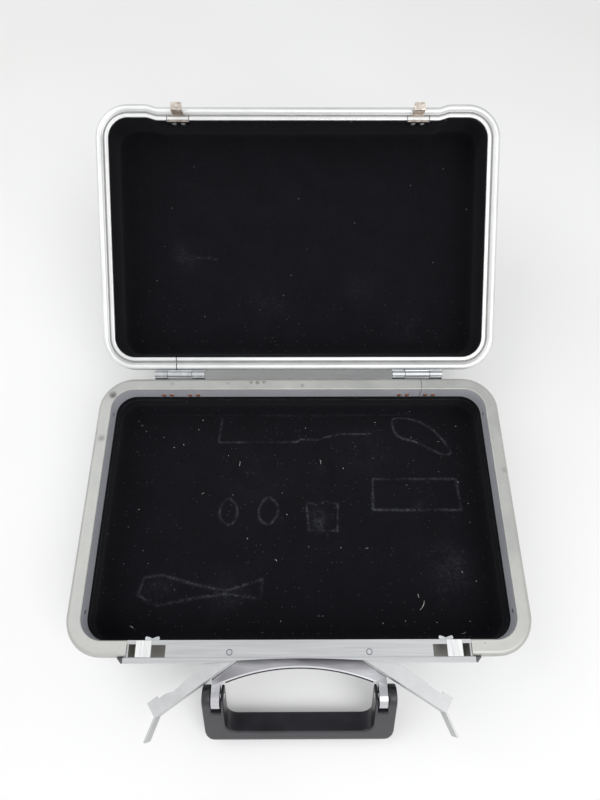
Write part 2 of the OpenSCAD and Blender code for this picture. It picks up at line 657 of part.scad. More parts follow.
module handle_grip() color("#26262a") place_handle() difference() {
  intersection() {
    translate([0, 0, -grip_t]) linear_extrude(2 * grip_t) grip_outline();
    translate([-grip_w, 0, 0]) rotate([90, 0, 90]) linear_extrude(2 * grip_w) grip_side();
  }
  handle_pins_at() cylinder(d = handle_pin_d, h = grip_w / 2 - pin_hide - cheek_in);
}

// The two pins, from the inner cheeks to just under the outer cheeks' faces
module handle_pins_at() mirrored() translate([cheek_in, 0, 0]) rotate([0, 90, 0]) children();

module handle_pins() color("silver") place_handle() handle_pins_at()
  cylinder(d = handle_pin_d, h = grip_w / 2 - pin_hide - cheek_in);

module lid_shell() color("silver") place_lid() difference() {
  union() {
    lid_strip(tray(shell_x, -shell_top, -lid_h, edge_r, shell_t));
    floor_slab(-lid_h, shell_t - lid_h);
  }
  at_hinge_rivets(-1) rotate([0, 0, 180]) rod_y(RIVET_R + fix_gap, 0, 2 * rim_w);
}

module lid_frame() color("gainsboro") place_lid() difference() {
  lid_path(lid_frame_section(), lid_frame_caps(len(lid_frame_section())));
  translate([seam_x, back - 2 * rim_w, -leg_h - 1]) cube([seam_gap, 3 * rim_w, leg_h + 2]);
  at_hinge_rivets(-1) rotate([0, 0, 180]) rod_y(RIVET_R + fix_gap, 0, 2 * rim_w);
  at_frame_rivets(lid_rim_w + 1) rod_y(FRAME_RIVET_R + fix_gap, 0, 4);
  at_hook_rivets() rod_y(HOOK_RIVET_R + fix_gap, -4, 4);
  mirrored() translate([latch_x, 0, 0]) hook_seat();
}

module lid_foam() color("dimgray") place_lid() {
  lid_strip(fill(shell_x + shell_t + foam_gap, -leg_h - fix_gap, shell_t + fix_gap - lid_h,
    edge_r - shell_t + foam_ease, lid_felt_x - foam_gap, -lid_pocket - felt_t - fix_gap,
    felt_r + felt_t - foam_ease));
  floor_slab(shell_t + fix_gap - lid_h, -lid_pocket - felt_t - fix_gap);
}

module lid_lining() color("#141416") place_lid() difference() {
  union() {
    lid_strip(tray(lid_felt_x, -1, -lid_pocket - felt_t, felt_r + felt_t, felt_t));
    floor_slab(-lid_pocket - felt_t, -lid_pocket);
  }
  mirrored() translate([latch_x - hook_plate_w / 2 - pass_gap, front, -hook_drop - pass_gap])
    cube([hook_plate_w + 2 * pass_gap, 2 * lid_rim_w, 2 * hook_drop]);
  at_frame_rivets(lid_rim_w + 3) rod_y(FRAME_RIVET_HEAD + pass_gap, 0, 3);
  at_hinge_rivets(lid_rim_w + 4) rod_y(COPPER_HEAD + pass_gap, 0, 4);
}

module lid_frame_rivets() color("gainsboro") place_lid()
  at_frame_rivets(lid_rim_w + fix_gap) rivet_y(FRAME_RIVET_R, FRAME_RIVET_HEAD, 0.7, frame_t + 1);

module lid_leaf(s) color("lightgray") translate([0, axis_y, axis_z]) rotate([lid_lean, 0, 0]) difference() {
  translate([s * hinge_x, 0, 0]) rotate([0, 0, 180]) difference() {
    leaf(LID_KNUCKLES, [[-hinge_len, -inner_k + knuckle_gap], [inner_k - knuckle_gap, hinge_len]]);
    translate([-hinge_len, 0, 0]) rotate([0, 90, 0]) cylinder(d = pin_d + 2 * run_gap, h = 2 * hinge_len);
  }
  translate([0, hinge_out + case_d / 2, -rim_gap / 2]) rotate([0, 0, 180]) at_hinge_rivets(-knuckle_d)
    rotate([0, 0, 180]) rod_y(RIVET_R + fix_gap, 0, 2 * knuckle_d);
}
module hinge_lid_leaf_left() { lid_leaf(-1); }
module hinge_lid_leaf_right() { lid_leaf(1); }

module hinge_lid_rivets() color("#b4724a") place_lid() at_hinge_rivets(lid_rim_w) hinge_rivet(lid_rim_w);

// The lid hooks: a plate riveted inside the frame, a neck over its lip, a forward-bent hook
HOOK_RIVET_R = 1.5;
HOOK_RIVET_PITCH = 8;
lid_front = front + jog_d;
hook_y = lid_front + lid_rim_w;
shank_y = front + base_leg_x - hook_in;

module at_hook_rivets() {
  for (s = [-1, 1], q = [-1, 1])
    translate([s * latch_x + q * HOOK_RIVET_PITCH / 2, hook_y + hook_t + fix_gap, -hook_drop / 2 - 0.8]) children();
}
// Notch in the frame's beads that lets the plate and the neck lie below the rim
module hook_seat() {
  translate([-hook_plate_w / 2 - fix_gap, hook_y - 4 - fix_gap, -hook_t - 2 * fix_gap])
    cube([hook_plate_w + 2 * fix_gap, 5, 2 * hook_t]);
  translate([-hook_w / 2 - fix_gap, shank_y - hook_t - fix_gap, -hook_t - 2 * fix_gap])
    cube([hook_w + 2 * fix_gap, hook_y - shank_y + hook_t, 2 * hook_t]);
}
module lid_hook(s) color("#b9b2a8") place_lid() difference() {
  translate([s * latch_x, 0, -fix_gap]) {
    translate([-hook_plate_w / 2, hook_y + fix_gap, -hook_drop]) cube([hook_plate_w, hook_t, hook_drop]);
    translate([-hook_plate_w / 2, hook_y - 4, -hook_t]) cube([hook_plate_w, 4 + hook_t + fix_gap, hook_t]);
    translate([-hook_w / 2, shank_y - hook_t, -hook_t]) cube([hook_w, hook_y - shank_y + hook_t, hook_t]);
    translate([-hook_w / 2, shank_y - hook_t, -hook_t]) cube([hook_w, hook_t, hook_reach + hook_t - 1]);
    translate([-hook_w / 2, shank_y - hook_lip, hook_reach - hook_t]) cube([hook_w, hook_lip - 1, hook_t]);
    translate([-hook_w / 2, shank_y - 1, hook_reach - 1]) rotate([0, 90, 0]) cylinder(r = 1, h = hook_w);
  }
  at_hook_rivets() rod_y(HOOK_RIVET_R + fix_gap, -4, 4);
}
module lid_hook_left() { lid_hook(-1); }
module lid_hook_right() { lid_hook(1); }

module lid_hook_rivets() color("silver") place_lid()
  at_hook_rivets() rotate([0, 0, 180]) rivet_y(HOOK_RIVET_R, 2.6, 1.1, hook_t + frame_t + 0.8);

base_shell();
base_frame();
base_foam();
base_lining();
base_frame_rivets();
hinge_base_leaf_left();
hinge_base_leaf_right();
hinge_pin_left();
hinge_pin_right();
hinge_base_rivets();
latch_channel();
keeper_plate_left();
keeper_plate_right();
hook_spring_left();
hook_spring_right();
latch_end_brackets();
lever_rivets();
lever_washers();
lever_bushes();
handle_bracket();
bracket_rivets();
lid_shell();
lid_frame();
lid_foam();
lid_lining();
lid_frame_rivets();
hinge_lid_leaf_left();
hinge_lid_leaf_right();
hinge_lid_rivets();
lid_hook_left();
lid_hook_right();
lid_hook_rivets();
latch_lever_left();
latch_lever_right();
handle_grip();
handle_pins();
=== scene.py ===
import json
import math
import bmesh
import bpy
import numpy as np
from mathutils import Matrix, Vector


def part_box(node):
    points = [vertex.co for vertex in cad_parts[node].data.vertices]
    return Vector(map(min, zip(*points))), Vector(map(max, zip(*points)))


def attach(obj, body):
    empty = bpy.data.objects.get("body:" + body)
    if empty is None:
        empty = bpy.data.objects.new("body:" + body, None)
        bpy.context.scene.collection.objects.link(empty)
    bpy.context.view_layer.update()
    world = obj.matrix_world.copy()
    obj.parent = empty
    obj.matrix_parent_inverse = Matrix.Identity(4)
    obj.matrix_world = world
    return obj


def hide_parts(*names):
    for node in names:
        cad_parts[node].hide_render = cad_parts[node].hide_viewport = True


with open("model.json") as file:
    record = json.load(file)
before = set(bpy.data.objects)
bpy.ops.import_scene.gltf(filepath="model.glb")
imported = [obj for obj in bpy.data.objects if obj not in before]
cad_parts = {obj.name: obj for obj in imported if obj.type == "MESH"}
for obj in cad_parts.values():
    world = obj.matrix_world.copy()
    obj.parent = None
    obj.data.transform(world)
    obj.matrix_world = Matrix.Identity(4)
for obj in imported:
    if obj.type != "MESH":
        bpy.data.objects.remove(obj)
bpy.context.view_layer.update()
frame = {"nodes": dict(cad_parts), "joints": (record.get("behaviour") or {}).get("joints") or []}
joints = {joint["name"]: joint for joint in frame["joints"]}

# The camera stands over the front of the case and looks down into it, as someone
# at the table would with the case in front of them.
mm = 0.001
pitch, yaw, roll = math.radians(65.14), math.radians(0.62), math.radians(0.46)
focal_pixels, picture_pixels, film_height = 574, 800, 36
ahead = Vector((math.sin(yaw) * math.cos(pitch), math.cos(yaw) * math.cos(pitch), -math.sin(pitch)))
across = ahead.cross(Vector((0, 0, 1))).normalized()
upward = across.cross(ahead)
across, upward = (across * math.cos(roll) + upward * math.sin(roll),
                  upward * math.cos(roll) - across * math.sin(roll))
camera = bpy.data.objects.new("camera", bpy.data.cameras.new("camera"))
bpy.context.collection.objects.link(camera)
camera.matrix_world = Matrix((across, upward, -ahead)).transposed().to_4x4()
camera.location = (-1.19 * mm, -124.16 * mm, 543.5 * mm)
camera.data.sensor_fit = "VERTICAL"
camera.data.sensor_height = film_height
camera.data.lens = focal_pixels * film_height / picture_pixels
bpy.context.scene.camera = camera
bpy.context.scene.view_settings.view_transform = "Standard"


# A pale studio sweep: a seamless white floor that keeps the case's soft shadows, lit by
# two large soft lamps and by an even pale room, which metals see a little brighter.
def linear(code):
    """An sRGB hex colour, such as #8a8c8e, as the linear RGBA that the shaders want."""
    parts = [int(code[i:i + 2], 16) / 255 for i in (1, 3, 5)]
    return [c / 12.92 if c <= 0.04045 else ((c + 0.055) / 1.055) ** 2.4 for c in parts] + [1]


def add(tree, kind, settings=None, **links):
    """Adds a node. The settings fill its properties, its plain inputs and its two colour stops.
    The links join its inputs, each called by its name or by an underscore and its number."""
    node = tree.nodes.new("ShaderNode" + kind)
    for name, value in (settings or {}).items():
        if name == "stops":
            for stop, (position, colour) in zip(node.color_ramp.elements, value):
                stop.position, stop.color = position, linear(colour)
        elif isinstance(name, str) and hasattr(node, name) and name not in node.inputs:
            setattr(node, name, value)
        else:
            node.inputs[name].default_value = value
    for name, source in links.items():
        key = int(name[1:]) if name[0] == "_" else name.replace("_", " ")
        tree.links.new(source, node.inputs[key])
    return node


def surface(name):
    """A new material with its tree, its main shader and the object coordinates."""
    made = bpy.data.materials.new(name)
    made.use_nodes = True
    tree = made.node_tree
    return made, tree, tree.nodes["Principled BSDF"], add(tree, "TexCoord").outputs["Object"]


# Matt white paper with a faint haze. It shows the camera and the metals a little light of its
# own, fading toward the back, but none in the hollow under the open lid, where the shadow is.
lid_shadow_y, shadow_reach = 230 * mm, (90 * mm, 130 * mm)
paper, tree, shader, where = surface("white_paper_sweep")
haze = add(tree, "TexNoise", {"Scale": 1 / (455 * mm), "Detail": 2.0}, Vector=where).outputs["Fac"]
white = add(tree, "ValToRGB", {"stops": ((0.3, "#f1f1ef"), (0.7, "#f8f8f8"))}, Fac=haze).outputs["Color"]
tree.links.new(white, shader.inputs["Base Color"])
shader.inputs["Roughness"].default_value = 0.7
shader.inputs["Specular IOR Level"].default_value = 0.25
far = add(tree, "SeparateXYZ", Vector=where).outputs["Y"]
fading = add(tree, "ValToRGB", {"stops": ((0.0, "#ffffff"), (0.75, "#c6c7c6"))}, Fac=far).outputs["Color"]
glow = add(tree, "Emission", {"Strength": 1.0}, Color=fading).outputs["Emission"]
rays = add(tree, "LightPath").outputs
shown = add(tree, "Math", {"operation": "MAXIMUM"}, _0=rays["Is Camera Ray"], _1=rays["Is Glossy Ray"])
share = add(tree, "Math", {"operation": "MULTIPLY", 1: 0.14}, _0=shown.outputs["Value"]).outputs["Value"]
squeezed = add(tree, "Mapping", {"Scale": (0.6, 1, 1)}, Vector=where).outputs["Vector"]
hollow = add(tree, "VectorMath", {"operation": "DISTANCE", 1: (0, lid_shadow_y, 0)}, _0=squeezed)
open_air = add(tree, "MapRange", {"From Min": shadow_reach[0], "From Max": shadow_reach[1]},
               Value=hollow.outputs["Value"]).outputs["Result"]
share = add(tree, "Math", {"operation": "MULTIPLY"}, _0=share, _1=open_air).outputs["Value"]
blend = add(tree, "MixShader", Fac=share, _1=shader.outputs["BSDF"], _2=glow)
tree.links.new(blend.outputs["Shader"], tree.nodes["Material Output"].inputs["Surface"])
sweep = bmesh.new()
bmesh.ops.create_grid(sweep, x_segments=8, y_segments=8, size=6)
floor_mesh = bpy.data.meshes.new("floor")
sweep.to_mesh(floor_mesh)
floor_mesh.materials.append(paper)
floor = bpy.data.objects.new("floor", floor_mesh)
bpy.context.collection.objects.link(floor)

world = bpy.data.worlds.new("studio")
bpy.context.scene.world = world
world.use_nodes = True
sky = world.node_tree
way_out = add(sky, "SeparateXYZ", Vector=add(sky, "TexCoord").outputs["Generated"]).outputs["Y"]
turned = add(sky, "MapRange", {"From Min": -1.0}, Value=way_out).outputs["Result"]
mirrored = add(sky, "ValToRGB", {"stops": ((0.1, "#ffffff"), (0.9, "#cfd1d3"))}, Fac=turned)
even = add(sky, "ValToRGB", {"stops": ((0.1, "#e7e7e8"), (0.9, "#cacacc"))}, Fac=turned)
rays = add(sky, "LightPath").outputs
plain = add(sky, "MixRGB", Fac=rays["Is Glossy Ray"], Color1=even.outputs["Color"],
            Color2=mirrored.outputs["Color"]).outputs["Color"]
room = add(sky, "MixRGB", {"Color2": (1, 1, 1, 1)}, Fac=rays["Is Camera Ray"], Color1=plain)
sky.links.new(room.outputs["Color"], sky.nodes["Background"].inputs["Color"])
sky.nodes["Background"].inputs["Strength"].default_value = 1.0

for name, place, aim, size, watts in (("window", (0.75, -0.95, 1.75), (0, 0.05, 0.05), 1.5, 16),
                                      ("fill", (-1.2, 0.35, 1.5), (0, 0, 0.05), 1.4, 8)):
    lamp = bpy.data.lights.new(name, "AREA")
    lamp.energy, lamp.size = watts, size
    stand = bpy.data.objects.new(name, lamp)
    bpy.context.collection.objects.link(stand)
    stand.location = place
    stand.rotation_euler = (Vector(aim) - Vector(place)).to_track_quat("-Z", "Y").to_euler()


# Base shell. A tray deep-drawn from 1.2 mm aluminium sheet, bright anodised, with rounded
# corners and a soft edge round its flat underside. Its front wall is cut down behind the latches.
# Sections are drawn in millimetres, as (inset from the case's edge, height above its rim).
low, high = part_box("base_frame")
side, back, front, base_h = high.x, high.y, low.y, high.z
corner, sheet, weld = 30 * mm, 1.2 * mm, 0.002 * mm
corner_x, corner_y = side - corner, back - corner
cut_x = 131.1 * mm
shell_inset, shell_top, shell_edge, cut_depth, shell_floor = 1.55, 5.2, 20, 20.3, base_h / mm


def arc(cx, cy, r, start, end, pieces):
    """Points of an arc in a section, in millimetres and degrees."""
    turns = [math.radians(start + (end - start) * i / pieces) for i in range(pieces + 1)]
    return [(cx + r * math.cos(turn), cy + r * math.sin(turn)) for turn in turns]


def start_section(bm, points, x, closed, level):
    """Draws a section across the rear run at that x, and keeps each point's inset in millimetres,
    for painted highlight and shade that follow the section."""
    inset = bm.verts.layers.float.get("inset") or bm.verts.layers.float.new("inset")
    verts = [bm.verts.new((x, back - p[0] * mm, level + p[1] * mm)) for p in points]
    for v, p in zip(verts, points):
        v[inset] = p[0]
    pairs = list(zip(verts, verts[1:])) + ([(verts[-1], verts[0])] if closed else [])
    return [bm.edges.new(pair) for pair in pairs]


def go(bm, edges, dx, dy):
    """Carries the section straight on."""
    grown = bmesh.ops.extrude_edge_only(bm, edges=edges)["geom"]
    moved = [g for g in grown if isinstance(g, bmesh.types.BMVert)]
    bmesh.ops.translate(bm, verts=moved, vec=(dx, dy, 0))
    return [g for g in grown if isinstance(g, bmesh.types.BMEdge) and all(v in moved for v in g.verts)]


def swing(bm, edges, cx, cy, degrees, steps=20):
    """Carries the section round a corner."""
    geom = list(dict.fromkeys(v for e in edges for v in e.verts)) + edges
    last = bmesh.ops.spin(bm, geom=geom, cent=(cx, cy, 0), axis=(0, 0, 1), dvec=(0, 0, 0),
                          angle=math.radians(degrees), steps=steps)["geom_last"]
    return [g for g in last if isinstance(g, bmesh.types.BMEdge)]


def half_round(bm, edges, way, start_x, end_x, set_back=None):
    """Carries a section from the rear run round one side (way 1 right, -1 left) to end_x from the
    front's middle. A set_back of (inner x, outer x, depth) sets the front back in an S-shaped step."""
    edges = go(bm, edges, way * (corner_x - way * start_x), 0)
    edges = swing(bm, edges, way * corner_x, corner_y, -90 * way)
    edges = go(bm, edges, 0, -2 * corner_y)
    edges = swing(bm, edges, way * corner_x, -corner_y, -90 * way)
    if not set_back:
        return go(bm, edges, way * (end_x - corner_x), 0)
    inner, outer, depth = set_back
    edges = go(bm, edges, way * (outer - corner_x), 0)
    slices, moved = 16, 0
    for k in range(1, slices + 1):
        t = k / slices
        wanted = depth * t * t * (3 - 2 * t)
        edges = go(bm, edges, way * (inner - outer) / slices, wanted - moved)
        moved = wanted
    return go(bm, edges, way * (end_x - inner), 0)


def open_tray(points, level, set_back=None):
    """A tray's wall: its section carried right round."""
    bm = bmesh.new()
    for way in (1, -1):
        half_round(bm, start_section(bm, points, 0, False, level), way, 0, 0, set_back)
    bmesh.ops.remove_doubles(bm, verts=bm.verts, dist=weld)
    return bm


def draw_sheet(bm, floor_level):
    """Closes a tray's flat floor, and gives its sheet its thickness."""
    rim = [e for e in bm.edges if e.is_boundary and e.verts[0].co.z < floor_level + 1 * mm]
    bmesh.ops.contextual_create(bm, geom=rim)
    bmesh.ops.recalc_face_normals(bm, faces=bm.faces)
    bmesh.ops.solidify(bm, geom=bm.faces, thickness=sheet)


def piece(bm, name, body, material, replaced=(), crease=32, place=None):
    """Makes the object from its mesh, shades it, and says what it rides on and stands for."""
    bmesh.ops.recalc_face_normals(bm, faces=bm.faces)
    if place:
        bmesh.ops.transform(bm, matrix=place, verts=bm.verts)
    for face in bm.faces:
        face.smooth = True
    for edge in bm.edges:
        edge.smooth = len(edge.link_faces) != 2 or edge.calc_face_angle(0) < math.radians(crease)
    mesh = bpy.data.meshes.new(name)
    bm.to_mesh(mesh)
    bm.free()
    mesh.materials.append(material)
    obj = bpy.data.objects.new(name, mesh)
    bpy.context.collection.objects.link(obj)
    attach(obj, body)
    if replaced:
        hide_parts(*replaced)
    return obj


def metal(name, dark, light, rough, patch, grain, depth=0.1, lay=(1, 1, 1), metallic=1.0):
    """A metal that goes in soft patches from one tone and roughness to the other, with a grain in
    its surface. Patch and grain are widths in millimetres, and a small number in lay draws them out
    along that axis. The real grain is finer, so it is drawn as coarse as it needs to show."""
    made, tree, shader, where = surface(name)
    laid = add(tree, "Mapping", {"Scale": lay}, Vector=where).outputs["Vector"]
    clouds = add(tree, "TexNoise", {"Scale": 1 / (patch * mm), "Detail": 5.0, "Roughness": 0.6},
                 Vector=laid).outputs["Fac"]
    marks = add(tree, "TexNoise", {"Scale": 1 / (grain * mm), "Detail": 3.0}, Vector=laid).outputs["Fac"]
    tone = add(tree, "ValToRGB", {"stops": ((0.28, dark), (0.68, light))}, Fac=clouds).outputs["Color"]
    tree.links.new(tone, shader.inputs["Base Color"])
    shader.inputs["Metallic"].default_value = metallic
    sheen = add(tree, "MapRange", {"From Min": 0.3, "From Max": 0.7, "To Min": rough[0], "To Max": rough[1]},
                Value=clouds)
    tree.links.new(sheen.outputs["Result"], shader.inputs["Roughness"])
    bump = add(tree, "Bump", {"Strength": depth, "Distance": 0.2 * mm}, Height=marks)
    tree.links.new(bump.outputs["Normal"], shader.inputs["Normal"])
    return made, tree, shader, where, tone


# Anodised drawn sheet: silver-grey, a fine satin with cloudy handling wear.
shell_metal = metal("anodised_drawn_aluminium", "#babcbe", "#cbcdcf", (0.38, 0.5), 71.4, 1.11)[0]

shell_points = ([(shell_inset, -shell_top), (shell_inset, -cut_depth)]
                + arc(shell_inset + shell_edge, shell_edge - shell_floor, shell_edge, 180, 270, 14)
                + [(29.9, -shell_floor)])
bm = bmesh.new()
for way in (1, -1):
    edges = start_section(bm, shell_points, 0, False, base_h)
    go(bm, half_round(bm, edges, way, 0, cut_x), -way * cut_x, 0)
bmesh.ops.remove_doubles(bm, verts=bm.verts, dist=weld)
bmesh.ops.delete(bm, context="FACES", geom=[
    f for f in bm.faces if f.calc_center_median().z > base_h - cut_depth * mm
    and f.calc_center_median().y < front + 2 * mm and abs(f.calc_center_median().x) < cut_x])
draw_sheet(bm, base_h - shell_floor * mm)
piece(bm, "base_shell_drawn", "base", shell_metal, ("base_shell",))


# Base closure frame. An aluminium extrusion shaped like an upturned channel, bent round the
# rim and butted together behind. Its front is cut away for the latches.
rim_width, rim_depth, wall = 12, 15.5, 1.5
inner_leg = rim_width - wall
rim_points = ([(0, -rim_depth)] + arc(4, -4, 4, 180, 90, 10) + [(9.7, -0.12)]
              + arc(11.1, -0.9, 0.9, 105, 0, 6) + [(rim_width, -rim_depth), (inner_leg, -rim_depth)]
              + [(inner_leg, -1.8)] + arc(4, -4, 4 - wall, 90, 180, 6) + [(wall, -rim_depth)])
joint_x, joint_gap = 113 * mm, 0.3 * mm


def cap_ends(bm):
    """Closes the open ends of a carried section."""
    bmesh.ops.holes_fill(bm, edges=[e for e in bm.edges if e.is_boundary], sides=0)


def jointed_ring(points, level, end_x, set_back=None):
    """A section carried both ways from a frame's joint to end_x either side of the front's middle,
    where the two halves are made one if they meet."""
    bm = bmesh.new()
    for way, x in ((1, joint_x + joint_gap), (-1, joint_x)):
        half_round(bm, start_section(bm, points, x, True, level), way, x, end_x, set_back)
    bmesh.ops.remove_doubles(bm, verts=[v for v in bm.verts if abs(v.co.x) < 1 * mm], dist=weld)
    cap_ends(bm)
    return bm


# Mill-finish extrusion rubbed smooth by use: a light grey satin with small dark nicks and a few
# dull handling stains (x, y, radius in millimetres, strength). Its inner face is painted brighter, a painted
# highlight.
stains = [(-169.3, 100.6, 4.5, 0.9), (-164.5, 80.5, 1.8, 0.9), (-43.6, 113.2, 2.3, 0.6),
          (-38, 113, 2.7, 0.65), (-32, 113.4, 2.3, 0.6), (3.2, 110.1, 2.2, 0.65),
          (-64.9, 112.4, 2.0, 0.45), (-174, 58.7, 4.0, 0.5), (-116.4, 112, 3.0, 0.3), (177, 28.4, 3.5, 0.3)]
rim_metal, tree, shader, where, tone = metal("satin_extruded_aluminium", "#abaca9", "#c0c0bc", (0.40, 0.52),
                                             45.45, 2.38, 0.12, metallic=0.55)
flecks = add(tree, "TexNoise", {"Scale": 1 / (3.333 * mm), "Detail": 2.0}, Vector=where).outputs["Fac"]
nicks = add(tree, "ValToRGB", {"stops": ((0.22, "#8a8a8a"), (0.27, "#ffffff"))}, Fac=flecks)
wear_and_highlight = add(tree, "MixRGB", {"blend_type": "MULTIPLY", "Fac": 1.0}, Color1=tone,
           Color2=nicks.outputs["Color"]).outputs["Color"]
ragged = add(tree, "TexNoise", {"Scale": 1 / (3.846 * mm), "Detail": 4.0}, Vector=where).outputs["Fac"]
for x, y, radius, strength in stains:
    gap = add(tree, "VectorMath", {"operation": "DISTANCE", 1: (x * mm, y * mm, base_h)}, _0=where)
    inside = add(tree, "MapRange", {"From Min": radius * mm, "From Max": 0.2 * radius * mm},
                 Value=gap.outputs["Value"]).outputs["Result"]
    patchy = add(tree, "Math", {"operation": "MULTIPLY"}, _0=inside, _1=ragged).outputs["Value"]
    much = add(tree, "Math", {"operation": "MULTIPLY", 1: 1.8 * strength}, _0=patchy).outputs["Value"]
    wear_and_highlight = add(tree, "MixRGB", {"Color2": linear("#4c4a47")}, Fac=much, Color1=wear_and_highlight).outputs["Color"]
height = add(tree, "SeparateXYZ", Vector=where).outputs["Z"]
# Painted highlight: just under the top, the inner face is mixed toward a bluish white.
below = add(tree, "MapRange", {"From Min": base_h - 0.6 * mm, "From Max": base_h - 1.2 * mm}, Value=height)
inset = add(tree, "Attribute", {"attribute_name": "inset"}).outputs["Fac"]
inner = add(tree, "MapRange", {"From Min": rim_width - 0.4, "From Max": rim_width - 0.1}, Value=inset)
inner = add(tree, "Math", {"operation": "MULTIPLY"}, _0=below.outputs["Result"], _1=inner.outputs["Result"])
wear_and_highlight = add(tree, "MixRGB", {"Color2": linear("#eceef6")}, Fac=inner.outputs["Value"], Color1=wear_and_highlight)
tree.links.new(wear_and_highlight.outputs["Color"], shader.inputs["Base Color"])

piece(jointed_ring(rim_points, base_h, cut_x), "base_rim", "base", rim_metal,
      ("base_frame",))

# Soot-dark grime fills the butt joint. The same dark material is painted shade round the lever rivets and
# under the handle bracket's shelf.
grime_and_shade = metal("seam_grime_and_painted_shade", "#26262a", "#3c3c40", (0.6, 0.7), 3.333, 2, metallic=0.2)[0]


def seam(name, body, points, level, width, place=None):
    """A thin dark filling, that many millimetres wide, across a frame's section at its joint."""
    bm = bmesh.new()
    raised = [(x, z + 0.03) for x, z in points]
    edges = start_section(bm, raised, joint_x + (joint_gap - width * mm) / 2, True, level)
    go(bm, edges, width * mm, 0)
    cap_ends(bm)
    piece(bm, name, body, grime_and_shade, place=place)


seam("base_seam", "base", rim_points, base_h, 0.45)


# Base lining. Black felt over a moulded block, laid flat, with soft corners. Tools that lay on
# it left pale chalky outlines, given as (line width, strength, points in millimetres), and
# rubbed smudges, given as (x, y, radius, strength).
floor_z, wall_highlight_z = 28 * mm, 47.5 * mm
felt_floor, felt_edge = (base_h - floor_z) / mm, 8
outlines = {
    "long_edge": (0.8, 0.6, [(-74.3, 96), (-76.4, 70), (-46.6, 70.3), (-1.6, 70.4), (2.2, 73.4), (17.6, 72.4),
                             (27.2, 75.4), (39.8, 78.5), (68.8, 78.4)]),
    "long_top": (0.7, 0.2, [(-74.3, 96), (-45.5, 97), (1.4, 98), (69.9, 98.4)]),
    "curved": (0.9, 0.7, [(91.1, 94.1), (98.1, 96.2), (113.5, 93), (127.4, 85.6), (137.7, 73.1),
                          (146.2, 59.4), (138.7, 55.9), (125.1, 63), (111.5, 71.2), (99.2, 73.2),
                          (92.9, 78.4), (90.6, 87.8), (91.1, 94.1)]),
    "oblong": (0.9, 0.75, [(68.6, 33.5), (146.4, 33.3), (147.6, 4.1), (67.4, 4.3), (68.6, 33.5)]),
    "leaf_one": (0.95, 0.6, [(-64.1, 16.7), (-56.4, 9.2), (-55.2, 0.9), (-60.9, -10.8), (-70.2, -5.4),
                             (-72.5, 3.7), (-69.3, 12.1), (-64.1, 16.7)]),
    "leaf_two": (0.95, 0.6, [(-28.3, 17.6), (-20, 11), (-18, 2.7), (-26, -10), (-35.1, -5.5), (-37.1, 3.7),
                             (-33.7, 12), (-28.3, 17.6)]),
    "cup": (0.85, 1.0, [(6.5, 11.9), (9, -13.7), (34.5, -14.7), (35.3, 9.9)]),
    "cup_top": (0.8, 0.9, [(6.5, 11.9), (15.7, 9.1), (24.8, 11.8), (35.3, 9.9)]),
    "waisted": (1.1, 0.5, [(-137.6, -68.7), (-133.3, -53.9), (-118.8, -52.2), (-94, -59), (-63.5, -65.7),
                           (-32, -55.8), (-32.5, -72.3), (-63.4, -68.1), (-93, -72.1), (-122.2, -77.6),
                           (-137.6, -68.7)]),
}
smudges = [(132, -47, 20, 0.2), (128, -62, 14, 0.15), (19, -9, 6, 0.9), (22, 42, 5, 0.2), (19, 4, 9, 0.2),
           (-60, -70, 18, 0.12), (-120, -64, 12, 0.14), (110, 8, 4, 0.2), (60, 60, 25, 0.07),
           (-40, 30, 30, 0.05)]


def rounded(line):
    """A closed line with its corners cut off twice, which leaves it round."""
    for _ in range(2):
        pairs = zip(line, line[1:])
        line = [tuple(p + (q - p) * t for p, q in zip(a, b)) for a, b in pairs for t in (0.25, 0.75)]
        line.append(line[0])
    return line


for mark in ("curved", "leaf_one", "leaf_two"):
    outlines[mark] = (*outlines[mark][:2], rounded(outlines[mark][2]))


# Needled felt: deep black, matt, with a soft sheen at a slant and a short tangled nap. The real
# nap and dust are finer than the picture shows, so both are drawn as coarse as they need.
felt, tree, shader, where = surface("black_needled_felt")
nap = add(tree, "TexNoise", {"Scale": 1 / (1.4286 * mm), "Detail": 4.0, "Roughness": 0.7},
          Vector=where).outputs["Fac"]
matted = add(tree, "TexNoise", {"Scale": 1 / (22.22 * mm), "Detail": 4.0, "Roughness": 0.6},
             Vector=where).outputs["Fac"]
tangle = add(tree, "MixRGB", {"blend_type": "MULTIPLY", "Fac": 0.6}, Color1=nap, Color2=matted)
black = add(tree, "ValToRGB", {"stops": ((0.12, "#06060a"), (0.45, "#111116"))},
            Fac=tangle.outputs["Color"]).outputs["Color"]

# Chalk lies where the mesh says, and a painted highlight runs as a pale line along the walls at one height.
# Both are broken up here and there.
chalk = add(tree, "Attribute", {"attribute_name": "chalk"}).outputs["Fac"]
height = add(tree, "SeparateXYZ", Vector=where).outputs["Z"]
# Painted highlight: a pale line along the felt walls at one height.
off = add(tree, "Math", {"operation": "SUBTRACT", 1: wall_highlight_z}, _0=height).outputs["Value"]
off = add(tree, "Math", {"operation": "ABSOLUTE"}, _0=off).outputs["Value"]
painted_light_line = add(tree, "MapRange", {"From Min": 1.4 * mm, "From Max": 0.3 * mm, "To Max": 0.45}, Value=off)
lines = add(tree, "Math", {"operation": "MAXIMUM"}, _0=chalk, _1=painted_light_line.outputs["Result"]).outputs["Value"]
uneven = add(tree, "TexNoise", {"Scale": 1 / (20.83 * mm), "Detail": 3.0, "Roughness": 0.6}, Vector=where)
fading = add(tree, "MapRange", {"From Min": 0.36, "From Max": 0.62, "To Min": 0.12, "To Max": 1.1},
             Value=uneven.outputs["Fac"]).outputs["Result"]
lines = add(tree, "Math", {"operation": "MULTIPLY"}, _0=lines, _1=fading).outputs["Value"]
broken = add(tree, "TexNoise", {"Scale": 1 / (1.923 * mm), "Detail": 3.0, "Roughness": 0.7}, Vector=where)
